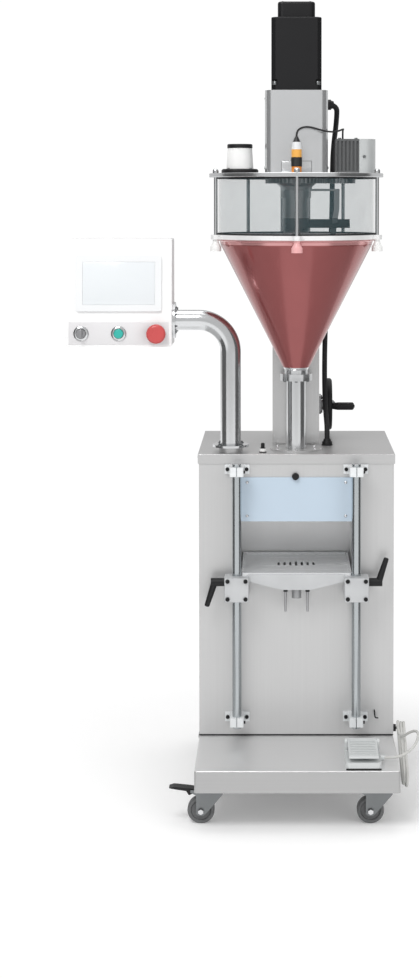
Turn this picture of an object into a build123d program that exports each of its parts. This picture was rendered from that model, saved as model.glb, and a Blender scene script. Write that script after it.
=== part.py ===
"""Auger powder filler: wheeled cabinet, lifting head with hopper and auger, tray on guide rods."""
import os
from math import cos, pi, radians, sin, tan

from build123d import *

# Driving dimensions in millimetres. The auger axis is X = Y = 0, the floor is Z = 0 and the front faces -Y.
GAP = 0.3                    # room between pieces that move past each other
SHEET = 2.0                  # folded sheet of the cabinet

# Base and cabinet
BODY_WIDTH = 428.0
CABINET_FRONT = -80.0
CABINET_DEPTH = 395.0
CABINET_TOP = 752.0
BASE_FRONT_REACH = 253.0     # how far the base stands out in front of the cabinet
BASE_BOTTOM = 82.0
BASE_TOP = 128.0
BASE_EDGE_RADIUS = 6.0
COVER_OVERHANG = 2.5
COVER_SKIRT = 21.0
RING_COVER_RADIUS = 58.0     # raised ring on the cover, round the auger tube
RING_COVER = 3.0
VENT_COUNT = 6
VENT_WIDTH = 140.0
VENT_PITCH = 16.0
VENT_HEIGHT = 5.0

# Filling bay cut into the cabinet's front
BAY_WIDTH = 250.0
BAY_BACK = 122.0
BAY_TOP = 700.0
BAY_CLEARANCE = 5.0          # room between the tray and the bay's walls
GUARD_BOTTOM = 604.0
GUARD_TOP = 701.0
GUARD_WIDTH = 266.0
GUARD_THICKNESS = 3.0

# Tray on its two guide rods
ROD_RADIUS = 10.0
ROD_SPACING = 260.0
ROD_STANDOFF = 40.0          # from the cabinet's front to the rods' axes
ROD_BOTTOM = 156.0
ROD_TOP = 736.0
BRACKET_HEIGHT = 20.0
BRACKET_BODY_WIDTH = 30.0
BRACKET_FLANGE_WIDTH = 54.0
BRACKET_FLANGE_THICKNESS = 9.0
TRAY_TOP = 498.0
TRAY_FLOOR = 4.0             # depth of the tray's shallow dish
TRAY_SHEET = 2.0
TRAY_FRONT = -123.0
TRAY_BACK = 112.0
TRAY_TRAVEL = 100.0
TROUGH_SIDE_Z = 484.0
TROUGH_BOTTOM_Z = 463.0
TROUGH_FLAT = 54.0
TROUGH_WIDTH = 204.0
SPOUT_RADIUS = 10.5
SPOUT_LENGTH = 22.0
BLOCK_SIZE = 53.0
BLOCK_DEPTH = 46.0
BEAM_THICKNESS = 5.0
LEVER_STUD_RADIUS = 4.0
LEVER_HUB_RADIUS = 9.0
LEVER_ARM_LENGTH = 56.0
LEVER_ARM_SLANT = 18.0       # degrees that the arm leans outwards
LEVER_RISE = 12.0            # the lever's axis above the block's middle

# Lifting column behind the auger
LIFT_TRAVEL = 100.0
COLUMN_WIDTH = 106.0
COLUMN_FRONT = 61.0
COLUMN_BACK = 290.0
COLUMN_LOW_TOP = 980.0
COLUMN_HIGH_TOP = 1100.0
COLUMN_STEP = 150.0
COLUMN_WALL = 4.0
COLUMN_FOOT = 8.0
MAST_SIZE = 70.0
MAST_WALL = 5.0
MAST_AXIS_Y = 240.0
MAST_BOTTOM = 872.0
MAST_CORNER = 6.0
GUIDE_HEIGHT = 60.0
NUT_HEIGHT = 26.0
SCREW_RADIUS = 10.0
SCREW_TOP = 1080.0
SCREW_JOURNAL_RADIUS = 8.0
SCREW_BOTTOM = 855.0         # where the threaded length starts
WHEEL_AXIS_Z = 826.0
WHEEL_RADIUS = 61.0
WHEEL_RIM = 8.0
WHEEL_X = 79.0               # middle plane of the handwheel
WHEEL_WIDTH = 15.0
SPOKES = 3
WHEEL_SHAFT_RADIUS = 7.0
BEARING_BLOCK = 44.0
CRANK_OFFSET = 47.0
CRANK_LENGTH = 50.0
CRANK_RADIUS = 9.0
CRANK_PIN_RADIUS = 3.5
MITRE_TEETH = 16
MITRE_RADIUS = 18.0
MITRE_FACE = 9.0

# Head: lid, hopper and drive
LID_RADIUS = 193.0
LID_BOTTOM = 1358.0
LID_TOP = 1367.0
HOPPER_RADIUS = 177.5
HOPPER_WALL = 6.0
RING_TOP = 1232.0
RING_BOTTOM = 1222.0
GASKET = 3.0
CONE_TOP_RADIUS = 170.0
CONE_BOTTOM_RADIUS = 26.0
CONE_BOTTOM = 930.0
CONE_WALL = 2.0
TIE_COUNT = 5
TIE_CIRCLE = 186.0
TIE_RADIUS = 4.0
LUG_RADIUS = 11.0
KNOB_RADIUS = 12.0
KNOB_HEIGHT = 26.0
HOUSING_WIDTH = 138.0
HOUSING_FRONT = -69.0
HOUSING_BACK = 284.0
HOUSING_TOP = 1548.0
HOUSING_WALL = 3.0
HOUSING_CORNER = 22.0
MOTOR_SIZE = 110.0
MOTOR_FLANGE = 12.0
MOTOR_TOP = 1708.0
MOTOR_CAP_SIZE = 82.0
MOTOR_CAP_TOP = 1743.0
MOTOR_SHAFT_RADIUS = 9.5
MOTOR_SHAFT_LENGTH = 40.0

# Auger and its tube
TUBE_RADIUS = 22.0
TUBE_WALL = 1.5
TUBE_BOTTOM = 600.0
TUBE_FLANGE_RADIUS = 36.0
TUBE_FLANGE = 8.0
AUGER_SHAFT_RADIUS = 10.0
AUGER_CLEARANCE = 0.5        # between the flight's edge and the tube
AUGER_PITCH = 40.0
AUGER_TURNS = 9
FLIGHT_THICKNESS = 3.0
COUPLING_RADIUS = 20.0
COUPLING_LENGTH = 44.0
COUPLING_BOTTOM = 1458.0
QUILL_RADIUS = 24.0
QUILL_FLANGE_RADIUS = 56.0
QUILL_FLANGE = 10.0
QUILL_TOP = 1420.0
QUILL_BOTTOM = 1240.0
BEARING_RADIUS = 18.0
BEARING_WIDTH = 12.0
COLLAR = 4.0

# Agitator and its gears
GEAR_MODULE = 3.0
GEAR_TEETH = 44
PINION_TEETH = 21
GEAR_WIDTH = 10.0
GEAR_TOP = 1355.0
SLEEVE_RADIUS = 33.0
SLEEVE_LOW_RADIUS = 29.0
SLEEVE_STEP_Z = 1313.0
BAR_RADIUS_OUT = 90.0
BAR_WIDTH = 12.0
BAR_THICKNESS = 5.0
BAR_ARM_Z = 1333.0
BAR_KNEE_Z = 1290.0
BAR_FOOT_R = 46.0
BAR_FOOT_Z = 1012.0
PADDLE_Z = 1256.0
PADDLE_REACH = 119.0
PADDLE_WIDTH = 26.0
PADDLE_THICKNESS = 4.0
PADDLE_PITCH = 38.0

# Fittings on the lid
STIR_X = 132.0
STIR_Y = 20.0
STIR_SIZE = 88.0
STIR_HEIGHT = 76.0
STIR_SHAFT_RADIUS = 6.0
FIN_DEPTH = 4.0
FIN_COUNT = 6
INLET_X = -125.0
INLET_RADIUS = 30.0
INLET_TOP_RADIUS = 27.0
INLET_WALL = 2.5
INLET_TOP = 1432.0
INLET_BASE_RADIUS = 41.0
INLET_BASE = 10.0
CAP_HEIGHT = 9.0
SENSOR_X = 0.0
SENSOR_Y = -92.0
SENSOR_RADIUS = 9.0
SENSOR_TOP = 1446.0
SENSOR_NUT_RADIUS = 12.0
SENSOR_NUT_LOW = 14.0        # these four heights stand above the lid
SENSOR_NUT_HIGH = 34.0
SENSOR_CAP_LOW = 52.0
SENSOR_CAP_HIGH = 66.0
SENSOR_DROP = 16.0           # how far its face stands below the lid
SENSOR_LEAD_RADIUS = 2.0
HEAD_CABLE_RADIUS = 6.0

# Control panel on its swivel arm
ARM_X = -145.0
ARM_Y = -43.0
ARM_RADIUS = 22.5
ARM_WALL = 2.0
ARM_BEND = 70.0
ARM_Z = 1044.0
ARM_FLANGE_RADIUS = 40.0
ARM_FLANGE = 5.0
SOCKET_RADIUS = 26.0
SOCKET_HEIGHT = 12.0
SPIGOT_RADIUS = 20.0
SPIGOT_LENGTH = 40.0
SPIGOT_WALL = 4.0
PANEL_FLANGE = 6.0
BOX_LEFT = -502.0
BOX_RIGHT = -272.0
BOX_BOTTOM = 989.0
BOX_TOP = 1224.0
BOX_FRONT = -96.0
BOX_DEPTH = 104.0
BOX_FOLD = 1047.0            # height where the front starts to lean back
BOX_LEAN = 18.0              # how far the front leans back at the top
SCREEN_WIDTH = 186.0
SCREEN_HEIGHT = 122.0
SCREEN_BEZEL = 5.0
BUTTON_Z = 1018.0
BUTTON_SPACING = 82.0
BUTTON_TRAVEL = 4.0
BUTTON_STEM = 10.0
BEZEL_RADIUS = 15.0
BEZEL = 4.0

# Foot pedal and its cord
PEDAL_X = 138.0
PEDAL_WIDTH = 74.0
PEDAL_FRONT = -325.0
PEDAL_LENGTH = 112.0
PEDAL_HEIGHT = 38.0
PEDAL_PIN = 3.0
PEDAL_PLAY = 0.06            # of the pedal's bore round its pin
PEDAL_CASE = 15.0
PEDAL_EAR = 6.0
PEDAL_CORD_Y = -270.0
PEDAL_CORD_Z = 137.0
CORD_RADIUS = 3.0
CORD_BOSS = 8.0
HANK_THICKNESS = 22.0
HANK_LENGTH = 150.0
HANK_WIDTH = 36.0
HANK_Y = -160.0
HANK_Z = 112.0
HANK_SLOPE = 26.0            # degrees that the hank droops towards the front
CORD_ALONG = 20.0            # from the hank's middle to where the pedal's end of the cord leaves it
CORD_DROP = 20.0             # straight run of the cord square to the hank
GLAND_Y = -70.0
GLAND_RADIUS = 8.0
GLAND_SHANK = 5.0

# Casters
CASTER_X = 178.0
CASTER_INSET = 62.0
CASTER_WHEEL_RADIUS = 28.5
CASTER_WHEEL_WIDTH = 22.0
CASTER_TRAIL = 24.0
CASTER_PLATE = 4.0
CASTER_PLATE_SIZE = 62.0
CASTER_AXLE_RADIUS = 4.0
FORK_SHEET = 3.0
KINGPIN_RADIUS = 7.0
BRAKE_X = -41.0              # the brake's pin, from the kingpin
BRAKE_PIN = 2.0
CASTER_NAMES = ["front_left", "front_right", "rear_left", "rear_right"]

# Values worked out from the driving dimensions
CABINET_BACK = CABINET_FRONT + CABINET_DEPTH
BASE_FRONT = CABINET_FRONT - BASE_FRONT_REACH
ROD_Y = CABINET_FRONT - ROD_STANDOFF
GEAR_RADIUS = GEAR_MODULE * GEAR_TEETH / 2
PINION_RADIUS = GEAR_MODULE * PINION_TEETH / 2
GEAR_DISTANCE = GEAR_RADIUS + PINION_RADIUS
MOTOR_Z = HOUSING_TOP
TUBE_BORE = TUBE_RADIUS - TUBE_WALL
FLIGHT_RADIUS = TUBE_BORE - AUGER_CLEARANCE
BLOCK_BACK = ROD_Y + ROD_RADIUS + 8
BLOCK_TOP = TRAY_TOP - TRAY_FLOOR - TRAY_SHEET
LEVER_Z = BLOCK_TOP - BLOCK_SIZE / 2 + LEVER_RISE
INLET_BORE = INLET_TOP_RADIUS - INLET_WALL
RIM_RADIUS = TIE_CIRCLE - LUG_RADIUS - 1
CONE_NECK = CONE_BOTTOM - 8
CONE_FLANGE = CONE_NECK - 7
AUGER_TOP = COUPLING_BOTTOM + COUPLING_LENGTH / 2
AUGER_BOTTOM = TUBE_BOTTOM + 3
STIR_LEFT = STIR_X - STIR_SIZE / 2
STIR_SPLIT = STIR_X + 7
STIR_TOP = LID_TOP + STIR_HEIGHT
SOCKET_TOP = CABINET_TOP + SOCKET_HEIGHT
SPIGOT_BORE = SPIGOT_RADIUS - SPIGOT_WALL
PEDAL_RIGHT = PEDAL_X + PEDAL_WIDTH / 2
PEDAL_BACK = PEDAL_FRONT + PEDAL_LENGTH
PEDAL_PIVOT_Y = PEDAL_BACK - 10
PEDAL_PIVOT_Z = BASE_TOP + PEDAL_HEIGHT - 9
GLAND_Z = BASE_TOP + 14
HANK_INNER = BODY_WIDTH / 2 + 6
HANK_OUTER = HANK_INNER + HANK_THICKNESS
CORD_DROP_X = (HANK_INNER + HANK_OUTER) / 2
HANK_ENTRY_Y = HANK_Y - HANK_WIDTH / 2 * sin(radians(HANK_SLOPE)) + CORD_ALONG * cos(radians(HANK_SLOPE))
HANK_ENTRY_Z = HANK_Z + HANK_WIDTH / 2 * cos(radians(HANK_SLOPE)) + CORD_ALONG * sin(radians(HANK_SLOPE))
FORK_TOP = BASE_BOTTOM - CASTER_PLATE - GAP
AXLE_Z = CASTER_WHEEL_RADIUS
BRAKE_PIN_Z = FORK_TOP - 7.5

# Middle lines of the leads and the cord
SENSOR_LEAD_POINTS = [(SENSOR_X, SENSOR_Y, SENSOR_TOP), (SENSOR_X, SENSOR_Y, 1458), (12, -94, 1466), (27, -95, 1467),
                      (45, -95, 1462), (63, -92, 1457), (80, -82, 1456), (93, -66, 1459), (101, -48, 1463),
                      (104, -30, 1464), (103, -14, 1463), (103, -2, 1457), (103, -2, STIR_TOP)]
HEAD_CABLE_POINTS = [(69, 20, 1520), (91, 20, 1520), (91, 46, 1490), (89, 84, 1462), (87, 122, 1438),
                     (86, 164, 1410), (86, 200, 1370), (86, 214, 1318), (85, 218, 1262), (83, 212, 1204),
                     (79, 196, 1150), (74, 174, 1098), (70, 158, 1042), (68, 152, 986), (67, 149, 930),
                     (67, 140, 876), (68, 118, 834), (70, 86, 806), (71, 64, 790), (71, 64, CABINET_TOP)]
PEDAL_CORD_POINTS = [(PEDAL_RIGHT + CORD_BOSS, PEDAL_CORD_Y, PEDAL_CORD_Z), (202, PEDAL_CORD_Y, PEDAL_CORD_Z),
                     (222, -267, 141), (242, -257, 151), (255, -242, 164), (259, -222, 175), (254, -203, 175),
                     (243, -184, 166), (CORD_DROP_X, HANK_ENTRY_Y - CORD_DROP * sin(radians(HANK_SLOPE)),
                                        HANK_ENTRY_Z + CORD_DROP * cos(radians(HANK_SLOPE))),
                     (CORD_DROP_X, HANK_ENTRY_Y, HANK_ENTRY_Z)]


def block(x0, x1, y0, y1, z0, z1):
    """A box between two corners."""
    middle = Pos((x0 + x1) / 2, (y0 + y1) / 2, (z0 + z1) / 2)
    return middle * Box(x1 - x0, y1 - y0, z1 - z0)


def rod(radius, z0, z1, x=0.0, y=0.0):
    """An upright cylinder."""
    return Pos(x, y, (z0 + z1) / 2) * Cylinder(radius, z1 - z0)


def rod_x(radius, x0, x1, y, z):
    """A cylinder along X."""
    return Pos((x0 + x1) / 2, y, z) * Rot(0, 90, 0) * Cylinder(radius, x1 - x0)


def rod_y(radius, y0, y1, x, z):
    """A cylinder along Y."""
    return Pos(x, (y0 + y1) / 2, z) * Rot(90, 0, 0) * Cylinder(radius, y1 - y0)


def turned(points, x=0.0, y=0.0):
    """A turned piece: an outline of (radius, height) points, spun about an upright axis."""
    outline = Plane.XZ * make_face(Polyline(*points, close=True))
    return Pos(x, y, 0) * revolve(outline, Axis.Z)


def upright_edges(solid):
    return solid.edges().filter_by(Axis.Z)


def rounded_block(x0, x1, y0, y1, z0, z1, radius):
    """A box with rounded upright edges."""
    solid = block(x0, x1, y0, y1, z0, z1)
    return fillet(upright_edges(solid), radius)


def gear_face(teeth, module, land=0.40, tip=0.24):
    """A spur gear's outline: straight-flanked teeth with room at the flanks and roots."""
    pitch_radius = module * teeth / 2
    pitch_angle = 2 * pi / teeth
    root = pitch_radius - 1.15 * module
    crown = pitch_radius + 0.85 * module
    points = []
    for index in range(teeth):
        middle = index * pitch_angle
        for radius, share in ((root, -land - 0.14), (crown, -tip), (crown, tip), (root, land + 0.14)):
            angle = middle + share * pitch_angle / 2
            points.append((radius * cos(angle), radius * sin(angle)))
    return make_face(Polyline(*points, close=True))


# Base and cabinet
def base_plinth():
    """Folded base box, open underneath, with plates inside for the casters."""
    half = BODY_WIDTH / 2
    outer = rounded_block(-half, half, BASE_FRONT, CABINET_BACK, BASE_BOTTOM, BASE_TOP, BASE_EDGE_RADIUS)
    top_edges = outer.faces().sort_by(Axis.Z)[-1].edges()
    outer = fillet(top_edges, BASE_EDGE_RADIUS / 2)
    inner = block(-half + SHEET, half - SHEET, BASE_FRONT + SHEET, CABINET_BACK - SHEET,
                  BASE_BOTTOM - 1, BASE_TOP - SHEET)
    shell = outer - inner
    for x, y in caster_places():
        pad = CASTER_PLATE_SIZE / 2
        shell += block(max(x - pad, -half + 1), min(x + pad, half - 1), y - pad, y + pad,
                       BASE_BOTTOM, BASE_BOTTOM + SHEET)
        shell += block(x - SHEET, x + SHEET, y - pad, y + pad, BASE_BOTTOM, BASE_TOP - 1)
    return shell


def cabinet_shell():
    """Left, right and rear walls in one folded sheet, with a turned-in front edge and cooling slots."""
    half = BODY_WIDTH / 2
    top = CABINET_TOP - SHEET
    outer = block(-half, half, CABINET_FRONT, CABINET_BACK, BASE_TOP, top)
    inner = block(-half + SHEET, half - SHEET, CABINET_FRONT - 1, CABINET_BACK - SHEET, BASE_TOP - 1, top + 1)
    shell = outer - inner
    for index in range(VENT_COUNT):
        z = BASE_TOP + 70 + index * VENT_PITCH
        shell -= block(-VENT_WIDTH / 2, VENT_WIDTH / 2, CABINET_BACK - 2 * SHEET, CABINET_BACK + 1, z, z + VENT_HEIGHT)
    return shell - rod_x(GLAND_SHANK, half - 2 * SHEET, half + 1, GLAND_Y, GLAND_Z)


def front_panel():
    """Flat front sheet with the filling bay folded into it."""
    half = BODY_WIDTH / 2 - SHEET
    bay = BAY_WIDTH / 2
    front = CABINET_FRONT
    sheet = block(-half, half, front, front + SHEET, BASE_TOP, CABINET_TOP - SHEET)
    liner = block(-bay - SHEET, bay + SHEET, front, BAY_BACK + SHEET,
                  TROUGH_BOTTOM_Z - BAY_CLEARANCE - SHEET, BAY_TOP + SHEET)
    room = extrude(Plane.XZ.offset(-BAY_BACK) * bay_outline(), amount=BAY_BACK - front + 1)
    chamber = block(-bay, bay, front + SHEET, BAY_BACK, TROUGH_BOTTOM_Z - BAY_CLEARANCE, BAY_TOP)
    panel = (sheet + liner) - chamber - room
    return panel - rod(TUBE_RADIUS + 2, BAY_TOP - 1, BAY_TOP + 2 * SHEET)


def bay_outline():
    """The bay's opening: straight sides and a bottom edge that follows the tray's trough."""
    bay = BAY_WIDTH / 2
    low = TROUGH_BOTTOM_Z - BAY_CLEARANCE
    side = TROUGH_SIDE_Z - BAY_CLEARANCE
    flat = TROUGH_FLAT / 2 + BAY_CLEARANCE
    points = [(-bay, BAY_TOP), (bay, BAY_TOP), (bay, side), (flat, low), (-flat, low), (-bay, side)]
    return make_face(Polyline(*points, close=True))


def top_cover():
    """Lid of the cabinet with a folded skirt, a raised ring round the auger tube and the arm's socket."""
    half = BODY_WIDTH / 2 + COVER_OVERHANG
    front = CABINET_FRONT - COVER_OVERHANG
    back = CABINET_BACK + COVER_OVERHANG
    low = CABINET_TOP - COVER_SKIRT
    outer = block(-half, half, front, back, low, CABINET_TOP)
    outer = fillet(outer.faces().sort_by(Axis.Z)[-1].edges(), 1.5)
    wall = COVER_OVERHANG - GAP
    inner = block(-half + wall, half - wall, front + wall, back - wall, low - 1, CABINET_TOP - SHEET)
    cover = outer - inner
    cover += rod(RING_COVER_RADIUS, CABINET_TOP, CABINET_TOP + RING_COVER)
    cover -= rod(TUBE_RADIUS + 1, low, CABINET_TOP + 10)
    cover += rod(SOCKET_RADIUS, CABINET_TOP - 1, SOCKET_TOP, ARM_X, ARM_Y)
    cover += rod(SPIGOT_RADIUS, CABINET_TOP - SPIGOT_LENGTH, SOCKET_TOP, ARM_X, ARM_Y)
    return cover - rod(SPIGOT_BORE, CABINET_TOP - SPIGOT_LENGTH - 1, SOCKET_TOP + 1, ARM_X, ARM_Y)


def guard_panel():
    """Clear guard in front of the bay's upper part."""
    half = GUARD_WIDTH / 2
    back = CABINET_FRONT
    sheet = block(-half, half, back - GUARD_THICKNESS, back, GUARD_BOTTOM, GUARD_TOP)
    return fillet(sheet.edges().filter_by(Axis.Y), 4)


def rod_places():
    return [(-ROD_SPACING / 2, ROD_Y), (ROD_SPACING / 2, ROD_Y)]


def guide_rods():
    solids = []
    for x, y in rod_places():
        bar = rod(ROD_RADIUS, ROD_BOTTOM, ROD_TOP, x, y)
        solids.append(chamfer(bar.edges().filter_by(GeomType.CIRCLE), 1))
    return solids


def rod_brackets():
    """Split shaft supports that carry the rods off the cabinet's front, two to each rod."""
    solids = []
    for x, y in rod_places():
        for z in (ROD_BOTTOM + BRACKET_HEIGHT / 2 + 6, ROD_TOP - BRACKET_HEIGHT / 2 - 6):
            low, high = z - BRACKET_HEIGHT / 2, z + BRACKET_HEIGHT / 2
            flange = block(x - BRACKET_FLANGE_WIDTH / 2, x + BRACKET_FLANGE_WIDTH / 2,
                           CABINET_FRONT - BRACKET_FLANGE_THICKNESS, CABINET_FRONT, low, high)
            front = y - ROD_RADIUS - 7
            body = rounded_block(x - BRACKET_BODY_WIDTH / 2, x + BRACKET_BODY_WIDTH / 2,
                                 front, CABINET_FRONT, low, high, 3)
            slit = block(x - 1, x + 1, front - 1, y, low - 1, high + 1)
            solids.append((flange + body) - slit - rod(ROD_RADIUS, low - 1, high + 1, x, y))
    return solids


# Tray
def tray_pan():
    """Square dish with drain slots over a V-shaped trough, and a spout at the trough's front."""
    half = BAY_WIDTH / 2 - BAY_CLEARANCE
    top = TRAY_TOP
    dish = rounded_block(-half, half, TRAY_FRONT, TRAY_BACK, top - TRAY_FLOOR - TRAY_SHEET, top, 6)
    dish -= rounded_block(-half + 5, half - 5, TRAY_FRONT + 5, TRAY_BACK - 5, top - TRAY_FLOOR, top + 1, 4)
    for index in range(-3, 4):
        x = index * 13.0
        length = 46 - 5 * abs(index)
        slot = SlotOverall(length, 5)
        slot = extrude(Pos(x, 0, top - TRAY_FLOOR - TRAY_SHEET - 1) * Rot(0, 0, 90) * slot, amount=10)
        dish -= slot
    trough = extrude(Plane.XZ.offset(-TRAY_BACK + 8) * trough_face(0), amount=TRAY_BACK - 8 - TRAY_FRONT)
    hollow = extrude(Plane.XZ.offset(-TRAY_BACK + 8 + TRAY_SHEET) * trough_face(TRAY_SHEET),
                     amount=TRAY_BACK - 8 - TRAY_FRONT - 2 * TRAY_SHEET)
    spout_y = TRAY_FRONT + SPOUT_RADIUS + 4
    low = TROUGH_BOTTOM_Z - SPOUT_LENGTH
    pan = dish + (trough - hollow) + rod(SPOUT_RADIUS, low, TROUGH_BOTTOM_Z + 1, 0, spout_y)
    return pan - rod(SPOUT_RADIUS - 1.5, low - 1, TROUGH_BOTTOM_Z + TRAY_SHEET + 1, 0, spout_y)


def trough_face(inset):
    """Section of the trough under the tray, or of its hollow when inset by the sheet."""
    half = TROUGH_WIDTH / 2 - inset
    high = TRAY_TOP - TRAY_FLOOR - TRAY_SHEET
    low = TROUGH_BOTTOM_Z + inset
    flat = TROUGH_FLAT / 2 - inset / 2
    side = TROUGH_SIDE_Z + inset / 2
    points = [(-half, high), (half, high), (half, side), (flat, low), (-flat, low), (-half, side)]
    return make_face(Polyline(*points, close=True))


def tray_carriage():
    """Two clamp blocks on the rods, joined by a front plate cut to the trough's V outline."""
    inner = ROD_SPACING / 2 - BLOCK_SIZE / 2
    flat = TROUGH_FLAT / 2 + 4
    top = TRAY_TOP - 2
    side = TROUGH_SIDE_Z - 4
    points = [(-inner, top), (inner, top), (inner, side), (flat, TROUGH_BOTTOM_Z - 1),
              (-flat, TROUGH_BOTTOM_Z - 1), (-inner, side)]
    face = make_face(Polyline(*points, close=True))
    carriage = extrude(Plane.XZ.offset(-TRAY_FRONT) * face, amount=BEAM_THICKNESS)
    for x, y in rod_places():
        half = BLOCK_SIZE / 2
        side = 1 if x > 0 else -1
        low = BLOCK_TOP - BLOCK_SIZE
        solid = rounded_block(x - half, x + half, BLOCK_BACK - BLOCK_DEPTH, BLOCK_BACK, low, BLOCK_TOP, 3)
        solid -= rod(ROD_RADIUS + GAP, low - 1, BLOCK_TOP + 1, x, y)
        solid -= rod_x(LEVER_STUD_RADIUS + GAP, *sorted((x + side * 12, x + side * 30)), y, LEVER_Z)
        carriage += solid
    return carriage


def clamp_lever(side):
    """Clamp lever screwed sideways into a block: the left one hangs down, the right one stands up."""
    x = side * (ROD_SPACING / 2 + BLOCK_SIZE / 2)
    stud = rod_x(LEVER_STUD_RADIUS, *sorted((x - side * 12, x + side * 6)), ROD_Y, LEVER_Z)
    hub = rod_x(LEVER_HUB_RADIUS, *sorted((x + side * 0.5, x + side * 30)), ROD_Y, LEVER_Z)
    arm = Pos(0, 0, LEVER_ARM_LENGTH / 2) * Cone(7.5, 5.5, LEVER_ARM_LENGTH)
    arm = fillet(arm.edges().filter_by(GeomType.CIRCLE).sort_by(Axis.Z)[-1], 3)
    turn = Rot(0, LEVER_ARM_SLANT if side > 0 else 180 + LEVER_ARM_SLANT, 0)
    return stud + hub + Pos(x + side * 22, ROD_Y, LEVER_Z) * turn * arm


# Lifting column
def column_profile(inset):
    """Side view of the column: low in front of the hopper's cone, tall round the mast."""
    front, back = COLUMN_FRONT + inset, COLUMN_BACK - inset
    guide = MAST_AXIS_Y - COLUMN_WIDTH / 2 + inset
    low, high = COLUMN_LOW_TOP - inset, COLUMN_HIGH_TOP - inset
    bottom = CABINET_TOP + (COLUMN_FOOT if inset else 0)
    points = [(front, bottom), (back, bottom), (back, high), (guide, high), (COLUMN_STEP + inset, low), (front, low)]
    return make_face(Polyline(*points, close=True))


def lift_column():
    """Hollow column with a guide liner in its top for the mast."""
    half = COLUMN_WIDTH / 2
    outer = extrude(Plane.YZ.offset(-half) * column_profile(0), amount=COLUMN_WIDTH)
    inner = extrude(Plane.YZ.offset(-half + COLUMN_WALL) * column_profile(COLUMN_WALL),
                    amount=COLUMN_WIDTH - 2 * COLUMN_WALL)
    column = outer - inner
    hole = MAST_SIZE / 2 + 1
    column -= block(-hole, hole, MAST_AXIS_Y - hole, MAST_AXIS_Y + hole, COLUMN_HIGH_TOP - 2 * COLUMN_WALL,
                    COLUMN_HIGH_TOP + 1)
    column -= rod_x(WHEEL_SHAFT_RADIUS + 3, half - 2 * COLUMN_WALL, half + 1, MAST_AXIS_Y, WHEEL_AXIS_Z)
    column -= rod(SCREW_JOURNAL_RADIUS + 0.05, CABINET_TOP + 1, CABINET_TOP + COLUMN_FOOT + 1, 0, MAST_AXIS_Y)
    return column + mast_guide()


def mast_guide():
    """Liner in the top of the column that the mast slides in."""
    half = COLUMN_WIDTH / 2 - COLUMN_WALL
    top = COLUMN_HIGH_TOP - COLUMN_WALL
    front = MAST_AXIS_Y - COLUMN_WIDTH / 2 + COLUMN_WALL
    liner = block(-half, half, front, COLUMN_BACK - COLUMN_WALL, top - GUIDE_HEIGHT, top)
    hole = MAST_SIZE / 2 + GAP
    return liner - rounded_block(-hole, hole, MAST_AXIS_Y - hole, MAST_AXIS_Y + hole,
                                 top - GUIDE_HEIGHT - 1, top + 1, MAST_CORNER)


def mast():
    """Square tube that carries the head up and down, with a nut block in its foot."""
    half = MAST_SIZE / 2
    top = HOUSING_TOP - HOUSING_WALL
    tube = rounded_block(-half, half, MAST_AXIS_Y - half, MAST_AXIS_Y + half, MAST_BOTTOM, top, MAST_CORNER)
    bore = half - MAST_WALL
    tube -= block(-bore, bore, MAST_AXIS_Y - bore, MAST_AXIS_Y + bore, MAST_BOTTOM + NUT_HEIGHT, top - MAST_WALL)
    return tube - rod(SCREW_RADIUS + GAP, MAST_BOTTOM - 1, MAST_BOTTOM + NUT_HEIGHT + 1, 0, MAST_AXIS_Y)


def mitre_gear(phase):
    """Mitre gear about Z with its cone's apex at the origin, opening downwards."""
    module = 2 * MITRE_RADIUS / MITRE_TEETH
    small = (MITRE_RADIUS - MITRE_FACE) / MITRE_RADIUS
    large = Rot(0, 0, phase) * gear_face(MITRE_TEETH, module, 0.30, 0.16)
    wide = Pos(0, 0, -MITRE_RADIUS) * large
    narrow = Pos(0, 0, -MITRE_RADIUS * small) * scale(large, small)
    return loft([wide, narrow], ruled=True)


def lift_screw():
    """Lifting screw with its journal in the column's foot and a mitre gear under the wheel's shaft."""
    foot = CABINET_TOP + COLUMN_FOOT
    screw = rod(SCREW_JOURNAL_RADIUS, CABINET_TOP + 2, foot + 1, 0, MAST_AXIS_Y)
    screw += rod(SCREW_RADIUS + 4, foot + GAP, foot + 6, 0, MAST_AXIS_Y)
    screw += rod(SCREW_JOURNAL_RADIUS, foot, SCREW_BOTTOM + 1, 0, MAST_AXIS_Y)
    screw += rod(SCREW_RADIUS, SCREW_BOTTOM, SCREW_TOP, 0, MAST_AXIS_Y)
    screw += Pos(0, MAST_AXIS_Y, WHEEL_AXIS_Z) * mitre_gear(0)
    return screw


def handwheel():
    """Black handwheel on its shaft, with a mitre gear at the inner end."""
    y, z = MAST_AXIS_Y, WHEEL_AXIS_Z
    half = WHEEL_WIDTH / 2
    ring = rod_x(WHEEL_RADIUS, WHEEL_X - half, WHEEL_X + half, y, z)
    ring = fillet(ring.edges().filter_by(GeomType.CIRCLE), half - 1)
    ring -= rod_x(WHEEL_RADIUS - 2 * WHEEL_RIM, WHEEL_X - 20, WHEEL_X + 20, y, z)
    hub = rod_x(15, WHEEL_X - half - 4, WHEEL_X + half, y, z)
    wheel = ring + hub
    for index in range(SPOKES):
        reach = WHEEL_RADIUS - WHEEL_RIM
        spoke = Pos(0, 0, reach / 2) * Box(8, 18, reach)
        wheel += Pos(WHEEL_X, y, z) * Rot(90 + index * 360 / SPOKES, 0, 0) * spoke
    shaft = rod_x(WHEEL_SHAFT_RADIUS, MITRE_RADIUS - 1, WHEEL_X, y, z)
    gear = Pos(0, y, z) * Rot(0, -90, 0) * mitre_gear(180 / MITRE_TEETH)
    pin = rod_x(CRANK_PIN_RADIUS, WHEEL_X, WHEEL_X + half + CRANK_LENGTH + 2, y - CRANK_OFFSET, z)
    return wheel + shaft + gear + pin


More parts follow.
